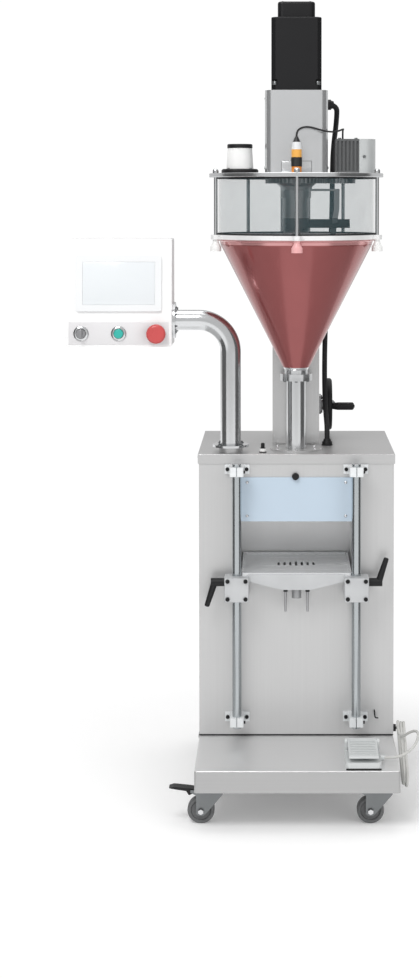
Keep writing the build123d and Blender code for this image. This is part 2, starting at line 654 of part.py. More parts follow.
def crank_grip():
    """Revolving grip on the handwheel's pin."""
    x0 = WHEEL_X + WHEEL_WIDTH / 2 + GAP
    points = [(CRANK_PIN_RADIUS + 0.08, 0), (7.0, 0), (CRANK_RADIUS, 12), (CRANK_RADIUS, CRANK_LENGTH - 3),
              (CRANK_RADIUS - 3, CRANK_LENGTH), (CRANK_PIN_RADIUS + 0.08, CRANK_LENGTH)]
    grip = turned(points)
    return Pos(x0, MAST_AXIS_Y - CRANK_OFFSET, WHEEL_AXIS_Z) * Rot(0, 90, 0) * grip


def shaft_bearing():
    """Flanged bearing on the column's side for the handwheel's shaft."""
    x = COLUMN_WIDTH / 2
    half = BEARING_BLOCK / 2
    flange = block(x, x + 8, MAST_AXIS_Y - half, MAST_AXIS_Y + half, WHEEL_AXIS_Z - half, WHEEL_AXIS_Z + half)
    flange = fillet(flange.edges().filter_by(Axis.X), 6)
    boss = rod_x(15, x, WHEEL_X - WHEEL_WIDTH / 2 - 4 - GAP, MAST_AXIS_Y, WHEEL_AXIS_Z)
    return flange + boss - rod_x(WHEEL_SHAFT_RADIUS + 0.05, x - 20, WHEEL_X, MAST_AXIS_Y, WHEEL_AXIS_Z)


# Head: lid, hopper and drive
def tie_places():
    places = []
    for index in range(TIE_COUNT):
        angle = radians(-90 + index * 360 / TIE_COUNT)
        places.append((TIE_CIRCLE * cos(angle), TIE_CIRCLE * sin(angle)))
    return places


def hopper_lid():
    """Round lid that carries the drive, the fittings and the hopper's tie rods."""
    lid = rod(LID_RADIUS, LID_BOTTOM, LID_TOP)
    lid = chamfer(lid.edges().filter_by(GeomType.CIRCLE), 1)
    holes = [(0, 0, QUILL_RADIUS), (INLET_X, 0, INLET_BORE), (SENSOR_X, SENSOR_Y, SENSOR_RADIUS),
             (GEAR_DISTANCE, 0, STIR_SHAFT_RADIUS + 0.05)]
    holes += [(x, y, TIE_RADIUS) for x, y in tie_places()]
    for x, y, radius in holes:
        lid -= rod(radius, LID_BOTTOM - 1, LID_TOP + 1, x, y)
    return lid


def hopper_window():
    """Clear wall of the hopper between the lid and the ring."""
    low, high = RING_TOP + GASKET, LID_BOTTOM - GASKET
    return rod(HOPPER_RADIUS, low, high) - rod(HOPPER_RADIUS - HOPPER_WALL, low - 1, high + 1)


def hopper_gaskets():
    solids = []
    for low in (RING_TOP, LID_BOTTOM - GASKET):
        ring = rod(HOPPER_RADIUS + 1, low, low + GASKET)
        solids.append(ring - rod(HOPPER_RADIUS - HOPPER_WALL - 1, low - 1, low + GASKET + 1))
    return solids


def hopper_ring():
    """Ring with lugs that the tie rods pull up under the clear wall."""
    ring = rod(HOPPER_RADIUS + 2, RING_BOTTOM, RING_TOP)
    for x, y in tie_places():
        ring += rod(LUG_RADIUS, RING_BOTTOM, RING_TOP, x, y)
    ring -= rod(HOPPER_RADIUS - HOPPER_WALL - 1, RING_BOTTOM - 1, RING_TOP + 1)
    for x, y in tie_places():
        ring -= rod(TIE_RADIUS, RING_BOTTOM - 1, RING_TOP + 1, x, y)
    return ring


def tie_rods():
    """Tie rods with domed heads above the lid, each one turned piece."""
    solids = []
    foot = RING_BOTTOM - KNOB_HEIGHT + 4
    for x, y in tie_places():
        bar = rod(TIE_RADIUS, foot, LID_TOP + 1, x, y)
        head = rod(6.5, LID_TOP, LID_TOP + 10, x, y)
        head = fillet(head.edges().filter_by(GeomType.CIRCLE).sort_by(Axis.Z)[-1], 5)
        solids.append(bar + head)
    return solids


def clamp_knobs():
    """Bell-shaped knobs that screw up under the ring's lugs."""
    solids = []
    low = RING_BOTTOM - KNOB_HEIGHT
    outline = [(0, low), (KNOB_RADIUS, low), (KNOB_RADIUS, low + 10), (KNOB_RADIUS - 3, low + 15),
               (6.5, low + 20), (6.5, RING_BOTTOM), (TIE_RADIUS, RING_BOTTOM), (TIE_RADIUS, low + 4), (0, low + 4)]
    for x, y in tie_places():
        solids.append(turned(outline, x, y))
    return solids


def hopper_cone():
    """Sheet cone with a rim under the ring and a flanged neck at the bottom."""
    rim = RING_BOTTOM - 13
    wall = CONE_WALL
    top, low = CONE_TOP_RADIUS, CONE_BOTTOM_RADIUS
    outline = [(top - wall - 1, RING_BOTTOM), (RIM_RADIUS, RING_BOTTOM), (RIM_RADIUS, RING_BOTTOM - 3),
               (top, RING_BOTTOM - 5), (top - 2, rim), (low, CONE_BOTTOM), (low, CONE_NECK),
               (TUBE_FLANGE_RADIUS, CONE_NECK), (TUBE_FLANGE_RADIUS, CONE_FLANGE), (TUBE_BORE, CONE_FLANGE),
               (low - wall, CONE_BOTTOM), (top - wall - 3, rim)]
    return turned(outline)


def head_housing():
    """Tall folded housing over the drive, open underneath, standing on the lid and hung on the mast."""
    half = HOUSING_WIDTH / 2
    wall = HOUSING_WALL
    outer = rounded_block(-half, half, HOUSING_FRONT, HOUSING_BACK, LID_TOP, HOUSING_TOP, HOUSING_CORNER)
    inner = rounded_block(-half + wall, half - wall, HOUSING_FRONT + wall, HOUSING_BACK - wall,
                          LID_TOP - 1, HOUSING_TOP - wall, HOUSING_CORNER - wall)
    housing = outer - inner - rod(30, HOUSING_TOP - 2 * wall, HOUSING_TOP + 1)
    groove = block(-33, 33, HOUSING_FRONT - 1, HOUSING_FRONT + 1, LID_TOP, LID_TOP + 25)
    return housing - (groove - block(-32, 32, HOUSING_FRONT - 2, HOUSING_FRONT + 2, LID_TOP - 1, LID_TOP + 24))


def servo_motor():
    """Square servo motor with cut-away flange corners and a smaller encoder cap on top."""
    half = MOTOR_SIZE / 2
    body = block(-half, half, -half, half, MOTOR_Z, MOTOR_TOP)
    body = chamfer(upright_edges(body), 9)
    body = fillet(body.faces().sort_by(Axis.Z)[-1].edges(), 3)
    notch = 13.0
    for sx in (-1, 1):
        for sy in (-1, 1):
            body -= Pos(sx * half, sy * half, MOTOR_Z + MOTOR_FLANGE + 6) * Box(2 * notch, 2 * notch, 12)
    cap = MOTOR_CAP_SIZE / 2
    lid = rounded_block(-cap, cap, -cap, cap, MOTOR_TOP, MOTOR_CAP_TOP, 12)
    body += fillet(lid.faces().sort_by(Axis.Z)[-1].edges(), 5)
    bore = MOTOR_SHAFT_RADIUS + 0.05
    return body - rod(bore, MOTOR_Z - 1, MOTOR_Z + MOTOR_FLANGE + 2)


def bearing_housing():
    """Quill that hangs through the lid: it carries the auger's shaft and the agitator turns on it."""
    bore = AUGER_SHAFT_RADIUS + 0.05
    room = BEARING_RADIUS - 4
    outline = [(bore, QUILL_BOTTOM - COLLAR), (QUILL_RADIUS + 4, QUILL_BOTTOM - COLLAR),
               (QUILL_RADIUS + 4, QUILL_BOTTOM), (QUILL_RADIUS, QUILL_BOTTOM), (QUILL_RADIUS, LID_TOP),
               (QUILL_FLANGE_RADIUS, LID_TOP), (QUILL_FLANGE_RADIUS, LID_TOP + QUILL_FLANGE),
               (QUILL_RADIUS + 6, LID_TOP + QUILL_FLANGE), (QUILL_RADIUS + 2, QUILL_TOP), (bore, QUILL_TOP),
               (bore, QUILL_TOP - BEARING_WIDTH), (room, QUILL_TOP - BEARING_WIDTH),
               (room, QUILL_BOTTOM + BEARING_WIDTH), (bore, QUILL_BOTTOM + BEARING_WIDTH)]
    return turned(outline)


# Auger
def auger_tube():
    """Filling tube with the flange that meets the cone's neck."""
    tube = rod(TUBE_RADIUS, TUBE_BOTTOM, CONE_FLANGE)
    tube += rod(TUBE_FLANGE_RADIUS, CONE_FLANGE - TUBE_FLANGE, CONE_FLANGE)
    return tube - rod(TUBE_BORE, TUBE_BOTTOM - 1, CONE_FLANGE + 1)


def auger_screw():
    """Auger shaft with its helical flight, clamp coupling and the servo motor's shaft."""
    shaft = rod(AUGER_SHAFT_RADIUS, AUGER_BOTTOM, AUGER_TOP)
    shaft = chamfer(shaft.edges().filter_by(GeomType.CIRCLE).sort_by(Axis.Z)[0], 3)
    start = AUGER_BOTTOM + 4
    path = Pos(0, 0, start) * Helix(AUGER_PITCH, AUGER_PITCH * AUGER_TURNS, AUGER_SHAFT_RADIUS)
    middle = (AUGER_SHAFT_RADIUS - 1 + FLIGHT_RADIUS) / 2
    width = FLIGHT_RADIUS - AUGER_SHAFT_RADIUS + 1
    section = Plane.XZ * Pos(middle, start) * Rectangle(width, FLIGHT_THICKNESS)
    flight = sweep(section, path=path, is_frenet=True)
    return shaft + flight + shaft_coupling()


def shaft_coupling():
    """Clamp coupling with the servo motor's shaft in its upper half."""
    top = COUPLING_BOTTOM + COUPLING_LENGTH
    body = rod(COUPLING_RADIUS, COUPLING_BOTTOM, top)
    body = chamfer(body.edges().filter_by(GeomType.CIRCLE), 1.5)
    return body + rod(MOTOR_SHAFT_RADIUS, top - 1, MOTOR_Z + MOTOR_FLANGE)


# Agitator
def agitator():
    """Gear-topped sleeve on the quill with a bent scraper bar and a pitched paddle."""
    bore = QUILL_RADIUS + GAP
    gear_low = GEAR_TOP - GEAR_WIDTH
    outline = [(bore, QUILL_BOTTOM + GAP), (SLEEVE_LOW_RADIUS, QUILL_BOTTOM + GAP),
               (SLEEVE_LOW_RADIUS, SLEEVE_STEP_Z), (SLEEVE_RADIUS, SLEEVE_STEP_Z), (SLEEVE_RADIUS, gear_low - 16),
               (SLEEVE_RADIUS + 3, gear_low - 7), (SLEEVE_RADIUS + 12, gear_low), (bore, gear_low)]
    sleeve = turned(outline)
    wide = BAR_WIDTH / 2
    knee_r = BAR_RADIUS_OUT - 8
    points = [(BAR_RADIUS_OUT - wide, BAR_ARM_Z), (BAR_RADIUS_OUT + wide, BAR_ARM_Z),
              (BAR_RADIUS_OUT + wide, BAR_KNEE_Z), (knee_r + wide, PADDLE_Z - 21), (BAR_FOOT_R + wide, BAR_FOOT_Z),
              (BAR_FOOT_R - wide, BAR_FOOT_Z), (knee_r - wide, PADDLE_Z - 21), (BAR_RADIUS_OUT - wide, BAR_KNEE_Z)]
    face = make_face(Polyline(*points, close=True))
    bar = extrude(Plane.XZ.offset(-BAR_THICKNESS / 2) * face, amount=BAR_THICKNESS)
    arm = block(SLEEVE_RADIUS - 3, BAR_RADIUS_OUT + wide, -wide, wide, BAR_ARM_Z - BAR_THICKNESS, BAR_ARM_Z)
    reach = PADDLE_REACH - SLEEVE_LOW_RADIUS + 2
    paddle = Pos(SLEEVE_LOW_RADIUS - 2 + reach / 2, 0, PADDLE_Z) * Rot(PADDLE_PITCH, 0, 0) \
        * Box(reach, PADDLE_WIDTH, PADDLE_THICKNESS)
    solid = sleeve + agitator_gear() + bar + arm + paddle
    return solid - rod(bore, BAR_FOOT_Z, GEAR_TOP + 1)


def agitator_gear():
    """Driven gear on the agitator's sleeve."""
    gear = extrude(gear_face(GEAR_TEETH, GEAR_MODULE), amount=GEAR_WIDTH)
    gear = Pos(0, 0, GEAR_TOP - GEAR_WIDTH) * gear
    return gear - rod(QUILL_RADIUS + GAP, GEAR_TOP - GEAR_WIDTH - 1, GEAR_TOP + 1)


def stir_pinion():
    """Pinion on the stirring motor's shaft, half a tooth round so that it meshes."""
    gear = extrude(Rot(0, 0, 180 + 180 / PINION_TEETH) * gear_face(PINION_TEETH, GEAR_MODULE), amount=GEAR_WIDTH)
    gear = Pos(GEAR_DISTANCE, 0, GEAR_TOP - GEAR_WIDTH) * gear
    return gear + rod(STIR_SHAFT_RADIUS, GEAR_TOP - 1, LID_TOP + 24, GEAR_DISTANCE, 0)


# Fittings on the lid
def stir_motor():
    """Finned gear motor that drives the agitator, with a smooth cover on its outer side."""
    front, back = STIR_Y - STIR_SIZE / 2, STIR_Y + STIR_SIZE / 2
    body = block(STIR_LEFT, STIR_SPLIT, front, back, LID_TOP, STIR_TOP)
    step = (STIR_SPLIT - STIR_LEFT) / FIN_COUNT
    for index in range(FIN_COUNT):
        x = STIR_LEFT + (index + 0.5) * step
        for y in (front, back):
            body -= block(x - step / 4, x + step / 4, y - FIN_DEPTH, y + FIN_DEPTH, LID_TOP + 6, STIR_TOP - 5)
    body -= rod(STIR_SHAFT_RADIUS + 0.05, LID_TOP - 1, LID_TOP + 25, GEAR_DISTANCE, 0)
    return body + stir_cover()


def stir_cover():
    """Smooth rounded cover on the gear motor's outer side."""
    front, back = STIR_Y - STIR_SIZE / 2, STIR_Y + STIR_SIZE / 2
    right = STIR_X + STIR_SIZE / 2
    cover = block(STIR_SPLIT, right, front, back, LID_TOP, STIR_TOP)
    return fillet(upright_edges(cover).sort_by(Axis.X)[2:], 30)


def inlet_neck():
    """Straight-bored feed neck, tapered outside."""
    top = INLET_TOP - CAP_HEIGHT
    outline = [(INLET_BORE, LID_TOP), (INLET_RADIUS, LID_TOP), (INLET_RADIUS, LID_TOP + INLET_BASE),
               (INLET_TOP_RADIUS, top), (INLET_BORE, top)]
    return turned(outline, INLET_X)


def inlet_base():
    """Black clamping ring round the neck's foot."""
    ring = rod(INLET_BASE_RADIUS, LID_TOP, LID_TOP + INLET_BASE, INLET_X)
    ring = chamfer(ring.edges().filter_by(GeomType.CIRCLE).sort_by(Axis.Z)[-1], 3)
    return ring - rod(INLET_RADIUS, LID_TOP - 1, LID_TOP + INLET_BASE + 1, INLET_X)


def inlet_cap():
    """Lift-off cap with a plug that drops into the neck."""
    seat = INLET_TOP - CAP_HEIGHT
    cap = rod(INLET_TOP_RADIUS + 1, seat, INLET_TOP, INLET_X)
    cap = fillet(cap.edges().filter_by(GeomType.CIRCLE).sort_by(Axis.Z)[-1], 2.5)
    return cap + rod(INLET_BORE - GAP, seat - 8, seat + 1, INLET_X)


def level_sensor():
    """Level probe through the lid, with its clamp nut and tapered cable boot."""
    low = LID_BOTTOM - SENSOR_DROP
    nut, body = SENSOR_NUT_RADIUS, SENSOR_RADIUS
    boot = SENSOR_LEAD_RADIUS + 1
    outline = [(0, low), (body, low), (body, LID_TOP), (nut - 1, LID_TOP), (nut - 1, LID_TOP + SENSOR_NUT_LOW),
               (nut, LID_TOP + SENSOR_NUT_LOW), (nut, LID_TOP + SENSOR_NUT_HIGH),
               (body + 2, LID_TOP + SENSOR_NUT_HIGH), (body + 2, LID_TOP + SENSOR_CAP_LOW),
               (body, LID_TOP + SENSOR_CAP_HIGH), (boot, SENSOR_TOP), (0, SENSOR_TOP)]
    return turned(outline, SENSOR_X, SENSOR_Y)


def smooth_route(points):
    """Straight runs joined by arcs as large as the runs allow."""
    vectors = [Vector(*point) for point in points]
    radii = []
    for before, here, after in zip(vectors, vectors[1:], vectors[2:]):
        turn = radians((here - before).get_angle(after - here))
        shorter = min((here - before).length, (after - here).length)
        radii.append(0.45 * shorter / tan(turn / 2))
    print("bend radii", [round(radius, 1) for radius in radii])
    return FilletPolyline(*points, radius=radii)


def tube_along(points, radius):
    path = smooth_route(points)
    section = Plane(path @ 0, z_dir=path % 0) * Circle(radius)
    tube = sweep(section, path=path)
    print("tube volume over section times length", round(tube.volume / (pi * radius ** 2 * path.length), 4))
    return tube


def sensor_lead():
    """Thin lead from the probe to the stirring motor's terminals."""
    return tube_along(SENSOR_LEAD_POINTS, SENSOR_LEAD_RADIUS)


def head_cable():
    """Conduit from the drive's housing, behind the hopper and down beside the column into the cabinet."""
    return tube_along(HEAD_CABLE_POINTS, HEAD_CABLE_RADIUS)


# Control panel on its swivel arm
def arm_pipe():
    """Bent pipe with a swivel flange and spigot below, and a flange for the control box at its end."""
    low = SOCKET_TOP + GAP
    end = BOX_RIGHT + PANEL_FLANGE
    path = FilletPolyline((ARM_X, ARM_Y, low + ARM_FLANGE), (ARM_X, ARM_Y, ARM_Z), (end, ARM_Y, ARM_Z), radius=ARM_BEND)
    start = Plane(path @ 0, z_dir=path % 0)
    pipe = sweep(start * (Circle(ARM_RADIUS) - Circle(ARM_RADIUS - ARM_WALL)), path=path)
    pipe += rod(ARM_FLANGE_RADIUS, low, low + ARM_FLANGE, ARM_X, ARM_Y)
    pipe += rod(SPIGOT_BORE - 0.05, CABINET_TOP - SPIGOT_LENGTH, low + 1, ARM_X, ARM_Y)
    return pipe + rod_x(ARM_FLANGE_RADIUS, BOX_RIGHT, end, ARM_Y, ARM_Z)


def box_profile(inset):
    """Side view of the control box: upright below, leaning back above."""
    front, back = BOX_FRONT + inset, BOX_FRONT + BOX_DEPTH
    low, high = BOX_BOTTOM + inset, BOX_TOP - inset
    points = [(front, low), (front, BOX_FOLD), (front + BOX_LEAN, high), (back, high), (back, low)]
    return make_face(Polyline(*points, close=True))


def button_places():
    middle = (BOX_LEFT + BOX_RIGHT) / 2
    return [middle - BUTTON_SPACING, middle, middle + BUTTON_SPACING]


def control_box():
    """Folded box, open at the back, with bezels round the buttons."""
    wide = BOX_RIGHT - BOX_LEFT
    outer = extrude(Plane.YZ.offset(BOX_LEFT) * box_profile(0), amount=wide)
    outer = fillet(outer.edges().filter_by(Axis.Y), 4)
    inner = extrude(Plane.YZ.offset(BOX_LEFT + SHEET) * box_profile(SHEET), amount=wide - 2 * SHEET)
    box = outer - inner
    for x in button_places():
        box += rod_y(BEZEL_RADIUS, BOX_FRONT - BEZEL, BOX_FRONT + 1, x, BUTTON_Z)
        box -= rod_y(BUTTON_STEM + GAP, BOX_FRONT - BEZEL - 1, BOX_FRONT + 3 * SHEET, x, BUTTON_Z)
    return box


def box_back():
    """Flat back plate of the control box."""
    back = BOX_FRONT + BOX_DEPTH
    plate = block(BOX_LEFT, BOX_RIGHT, back, back + SHEET, BOX_BOTTOM, BOX_TOP)
    return fillet(plate.edges().filter_by(Axis.Y), 4)


def touch_screen():
    """Framed touch screen on the leaning front."""
    middle = (BOX_LEFT + BOX_RIGHT) / 2
    height = BOX_TOP - BOX_FOLD
    face = Plane(origin=(middle, BOX_FRONT + BOX_LEAN * 0.45, BOX_FOLD + height * 0.45),
                 x_dir=(1, 0, 0), z_dir=(0, -height, BOX_LEAN))
    frame = extrude(face * RectangleRounded(SCREEN_WIDTH, SCREEN_HEIGHT, 5), amount=SCREEN_BEZEL)
    window = extrude(face.offset(SCREEN_BEZEL - 1) * Rectangle(SCREEN_WIDTH - 28, SCREEN_HEIGHT - 28), amount=2)
    return frame - window


def button(x, cap_radius, proud, rounding):
    """Push button: a stem through the box's front and a cap outside."""
    front = BOX_FRONT - BEZEL
    stem = rod_y(BUTTON_STEM, front - proud, BOX_FRONT + 18, x, BUTTON_Z)
    cap = rod_y(cap_radius, front - proud, front - min(proud - 1, BUTTON_TRAVEL + 2), x, BUTTON_Z)
    solid = stem + cap
    return fillet(solid.edges().filter_by(GeomType.CIRCLE).sort_by(Axis.Y)[0], rounding)


def estop_button():
    return button(button_places()[2], 21.0, 22.0, 7.0)


def start_button():
    return button(button_places()[1], BUTTON_STEM, 7.0, 2.0)


def selector_switch():
    """Round turning switch with a grip ridge."""
    x = button_places()[0]
    front = BOX_FRONT - BEZEL
    knob = rod_y(BUTTON_STEM, front - 5, BOX_FRONT + 18, x, BUTTON_Z)
    ridge = block(x - 3, x + 3, front - 16, front - 4, BUTTON_Z - 9, BUTTON_Z + 9)
    return knob + fillet(ridge.edges().filter_by(Axis.Y), 2)


# Foot pedal and its cord
def pedal_base():
    """Low case of the foot switch with ears for the pedal's pin and a cord outlet."""
    left = PEDAL_X - PEDAL_WIDTH / 2
    case = rounded_block(left, PEDAL_RIGHT, PEDAL_FRONT, PEDAL_BACK, BASE_TOP, BASE_TOP + PEDAL_CASE, 8)
    for x in (left, PEDAL_RIGHT - PEDAL_EAR):
        ear = block(x, x + PEDAL_EAR, PEDAL_BACK - 24, PEDAL_BACK - 2, BASE_TOP + PEDAL_CASE - 1, PEDAL_PIVOT_Z + 8)
        case += fillet(ear.edges().filter_by(Axis.X).sort_by(Axis.Z)[-2:], 7)
    case += rod_x(PEDAL_PIN, left, PEDAL_RIGHT, PEDAL_PIVOT_Y, PEDAL_PIVOT_Z)
    return case + rod_x(CORD_RADIUS + 3, PEDAL_RIGHT - 3, PEDAL_RIGHT + CORD_BOSS, PEDAL_CORD_Y, PEDAL_CORD_Z)


def pedal_plate():
    """Pedal that turns on the pin and slopes down to the toe."""
    half = PEDAL_WIDTH / 2 - PEDAL_EAR - GAP
    toe = BASE_TOP + 24
    points = [(PEDAL_FRONT + 1, toe), (PEDAL_PIVOT_Y - 4, PEDAL_PIVOT_Z - 6.5), (PEDAL_PIVOT_Y + 5, PEDAL_PIVOT_Z - 5),
              (PEDAL_PIVOT_Y + 6, PEDAL_PIVOT_Z + 5), (PEDAL_PIVOT_Y, PEDAL_PIVOT_Z + 8), (PEDAL_FRONT + 1, toe + 5)]
    plate = extrude(Plane.YZ.offset(PEDAL_X - half) * make_face(Polyline(*points, close=True)), amount=2 * half)
    bore = rod_x(PEDAL_PIN + PEDAL_PLAY, PEDAL_X - PEDAL_WIDTH / 2, PEDAL_RIGHT, PEDAL_PIVOT_Y, PEDAL_PIVOT_Z)
    return plate - bore


def cord_gland():
    """Gland on the cabinet's side where the pedal's cord comes out."""
    side = BODY_WIDTH / 2
    gland = rod_x(GLAND_RADIUS, side, HANK_INNER, GLAND_Y, GLAND_Z)
    return gland + rod_x(GLAND_SHANK, side - SHEET - 8, side + 1, GLAND_Y, GLAND_Z)


def cord_hank():
    """Outer shape of the folded hank of cord that hangs beside the base."""
    face = Plane.YZ.offset(HANK_INNER) * Pos(HANK_Y, HANK_Z) * Rot(0, 0, HANK_SLOPE) \
        * SlotOverall(HANK_LENGTH + HANK_WIDTH, HANK_WIDTH)
    return extrude(face, amount=HANK_THICKNESS)


def pedal_cord():
    """Loop of cord from the pedal up and over to the hank."""
    return tube_along(PEDAL_CORD_POINTS, CORD_RADIUS)


# Casters
def caster_places():
    places = []
    for y in (BASE_FRONT + CASTER_INSET, CABINET_BACK - CASTER_INSET):
        for x in (-CASTER_X, CASTER_X):
            places.append((x, y))
    return places


def caster_plates():
    """Mounting plates bolted under the base."""
    solids = []
    for x, y in caster_places():
        half = CASTER_PLATE_SIZE / 2
        plate = rounded_block(x - half, x + half, y - half, y + half, BASE_BOTTOM - CASTER_PLATE, BASE_BOTTOM, 6)
        solids.append(plate - rod(KINGPIN_RADIUS + 0.05, BASE_BOTTOM - 10, BASE_BOTTOM + 1, x, y))
    return solids


def caster_fork(x, y, braked):
    """Swivel fork, trailing to the left, with its kingpin and axle."""
    axle_x = -CASTER_TRAIL
    gap = CASTER_WHEEL_WIDTH / 2 + 1.5
    points = [(22, FORK_TOP - 5), (22, FORK_TOP - 14), (axle_x + 10, AXLE_Z - 6), (axle_x + 5, AXLE_Z - 10),
              (axle_x - 5, AXLE_Z - 10), (axle_x - 10, AXLE_Z - 6), (axle_x - 10, FORK_TOP - 16),
              (-46, FORK_TOP - 10), (-46, FORK_TOP - 5)]
    face = make_face(Polyline(*points, close=True))
    cheek = extrude(Plane.XZ.offset(gap) * face, amount=FORK_SHEET)
    other = extrude(Plane.XZ.offset(-gap - FORK_SHEET) * face, amount=FORK_SHEET)
    crown = block(-30, 22, -gap - FORK_SHEET, gap + FORK_SHEET, FORK_TOP - 8, FORK_TOP - 5)
    dome = rod(24, FORK_TOP - 6, FORK_TOP) + rod(KINGPIN_RADIUS, FORK_TOP - 2, BASE_BOTTOM - 0.5)
    axle = rod_y(CASTER_AXLE_RADIUS, -gap - FORK_SHEET - 3, gap + FORK_SHEET + 3, axle_x, AXLE_Z)
    fork = cheek + other + crown + dome + axle
    if braked:
        fork += rod_y(BRAKE_PIN, -gap - 1, gap + 1, BRAKE_X, BRAKE_PIN_Z)
    return Pos(x, y, 0) * fork


def caster_wheel(x, y):
    """Rubber-tyred wheel with a recessed web."""
    half = CASTER_WHEEL_WIDTH / 2
    bore = CASTER_AXLE_RADIUS + 0.06
    rim = CASTER_WHEEL_RADIUS
    points = [(bore, -half), (9, -half), (11, -half + 4), (rim - 9, -half + 4), (rim - 7, -half + 1), (rim - 3, -half + 1),
              (rim, -half + 4), (rim, half - 4), (rim - 3, half - 1), (rim - 7, half - 1), (rim - 9, half - 4),
              (11, half - 4), (9, half), (bore, half)]
    return Pos(x - CASTER_TRAIL, y, AXLE_Z) * Rot(90, 0, 0) * turned(points)


def caster_brake(x, y):
    """Foot brake lever on the front left fork."""
    pin_z = BRAKE_PIN_Z
    gap = CASTER_WHEEL_WIDTH / 2 + 1.5 - GAP
    points = [(BRAKE_X + 5, pin_z - 3), (BRAKE_X + 5, pin_z + 4), (BRAKE_X - 10, pin_z + 6), (BRAKE_X - 40, pin_z + 9),
              (BRAKE_X - 50, pin_z + 6), (BRAKE_X - 40, pin_z + 4), (BRAKE_X - 14, pin_z), (BRAKE_X - 8, pin_z - 9)]
    face = make_face(Polyline(*points, close=True))
    lever = extrude(Plane.XZ.offset(-gap) * face, amount=2 * gap)
    return Pos(x, y, 0) * (lever - rod_y(BRAKE_PIN + 0.06, -gap - 1, gap + 1, BRAKE_X, pin_z))


def build():
    """Every node: one solid, or a list of separate like solids."""
    nodes = {}
    for piece in (base_plinth, cabinet_shell, front_panel, top_cover, guard_panel, guide_rods, rod_brackets,
                  tray_pan, tray_carriage, lift_column, mast, lift_screw, handwheel, crank_grip, shaft_bearing,
                  hopper_lid, hopper_window, hopper_gaskets, hopper_ring, tie_rods, clamp_knobs, hopper_cone,
                  head_housing, servo_motor, bearing_housing, auger_tube, auger_screw, agitator, stir_pinion,
                  stir_motor, inlet_neck, inlet_base, inlet_cap, level_sensor, sensor_lead, head_cable, arm_pipe,
                  control_box, box_back, touch_screen, estop_button, start_button, selector_switch, pedal_base,
                  pedal_plate, cord_gland, cord_hank, pedal_cord, caster_plates):
        nodes[piece.__name__] = piece()
    nodes["clamp_lever_left"] = clamp_lever(-1)
    nodes["clamp_lever_right"] = clamp_lever(1)
    for name, (x, y) in zip(CASTER_NAMES, caster_places()):
        nodes["caster_fork_" + name] = caster_fork(x, y, name == "front_left")
        nodes["caster_wheel_" + name] = caster_wheel(x, y)
    nodes["caster_brake"] = caster_brake(*caster_places()[0])
    return nodes


CORD_NODES = ("cord_gland", "cord_hank", "pedal_cord")


def origin_shift(nodes):
    """Where the middle of the machine's footprint lies, cord left out."""
    solids = [compound(node) for name, node in nodes.items() if name not in CORD_NODES]
    box = Compound(children=solids).bounding_box()
    return Pos(-(box.min.X + box.max.X) / 2, -(box.min.Y + box.max.Y) / 2, -box.min.Z)


def compound(node):
    solids = node if isinstance(node, list) else [node]
    return Compound(children=[solid for piece in solids for solid in piece.solids()])


def main():
    os.makedirs("parts", exist_ok=True)
    nodes = build()
    shift = origin_shift(nodes)
    print("origin shift", [round(value, 3) for value in shift.position])
    for name, node in nodes.items():
        export_step(shift * compound(node), "parts/" + name + ".step")


if __name__ == "__main__":
    main()
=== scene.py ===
"""Finishes and small fittings of an auger powder filler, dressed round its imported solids."""
import math

import bmesh
import bpy
from bpy.props import FloatProperty, FloatVectorProperty, IntProperty, PointerProperty
from mathutils import Matrix, Vector

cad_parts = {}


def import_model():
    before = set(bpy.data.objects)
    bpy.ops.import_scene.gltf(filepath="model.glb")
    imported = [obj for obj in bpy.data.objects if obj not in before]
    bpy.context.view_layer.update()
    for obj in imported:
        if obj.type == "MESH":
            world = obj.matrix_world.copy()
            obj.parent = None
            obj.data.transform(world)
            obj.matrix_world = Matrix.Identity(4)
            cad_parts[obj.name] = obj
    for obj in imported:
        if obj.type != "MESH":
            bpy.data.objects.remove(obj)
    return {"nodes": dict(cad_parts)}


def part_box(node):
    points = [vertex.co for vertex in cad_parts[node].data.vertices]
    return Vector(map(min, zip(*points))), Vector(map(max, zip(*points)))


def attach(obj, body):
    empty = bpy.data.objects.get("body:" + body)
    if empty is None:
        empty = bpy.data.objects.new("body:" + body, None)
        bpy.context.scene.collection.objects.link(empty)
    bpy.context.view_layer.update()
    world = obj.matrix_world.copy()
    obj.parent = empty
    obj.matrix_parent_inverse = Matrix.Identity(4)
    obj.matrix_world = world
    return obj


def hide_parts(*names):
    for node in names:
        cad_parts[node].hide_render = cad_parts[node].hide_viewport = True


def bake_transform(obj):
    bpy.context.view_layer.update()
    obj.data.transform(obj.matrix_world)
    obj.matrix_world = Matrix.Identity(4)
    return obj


bl_info = {
    "name": "Auger powder filler",
    "version": (1, 0, 0),
    "blender": (4, 5, 0),
    "location": "View3D > Sidebar > Filler",
    "description": "Dresses the packed powder filler with finishes, fasteners, leads and a studio",
    "category": "Object",
}

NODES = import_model()["nodes"]
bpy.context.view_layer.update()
TUBE_LOW, TUBE_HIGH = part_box("auger_tube")
AXIS_X = (TUBE_LOW.x + TUBE_HIGH.x) / 2
AXIS_Y = (TUBE_LOW.y + TUBE_HIGH.y) / 2
MM = 0.001

# Directions of the machine
LEFT_RIGHT = (-1, 1)
RIGHT = (1, 0, 0)
FRONT = (0, -1, 0)
BACK = (0, 1, 0)
UP = (0, 0, 1)
DOWN = (0, 0, -1)


def at(x, y, z):
    """A point in metres from millimetres off the auger's axis and the floor."""
    return Vector((AXIS_X + x * MM, AXIS_Y + y * MM, z * MM))


def mm(length):
    """Millimetres from metres."""
    return length / MM


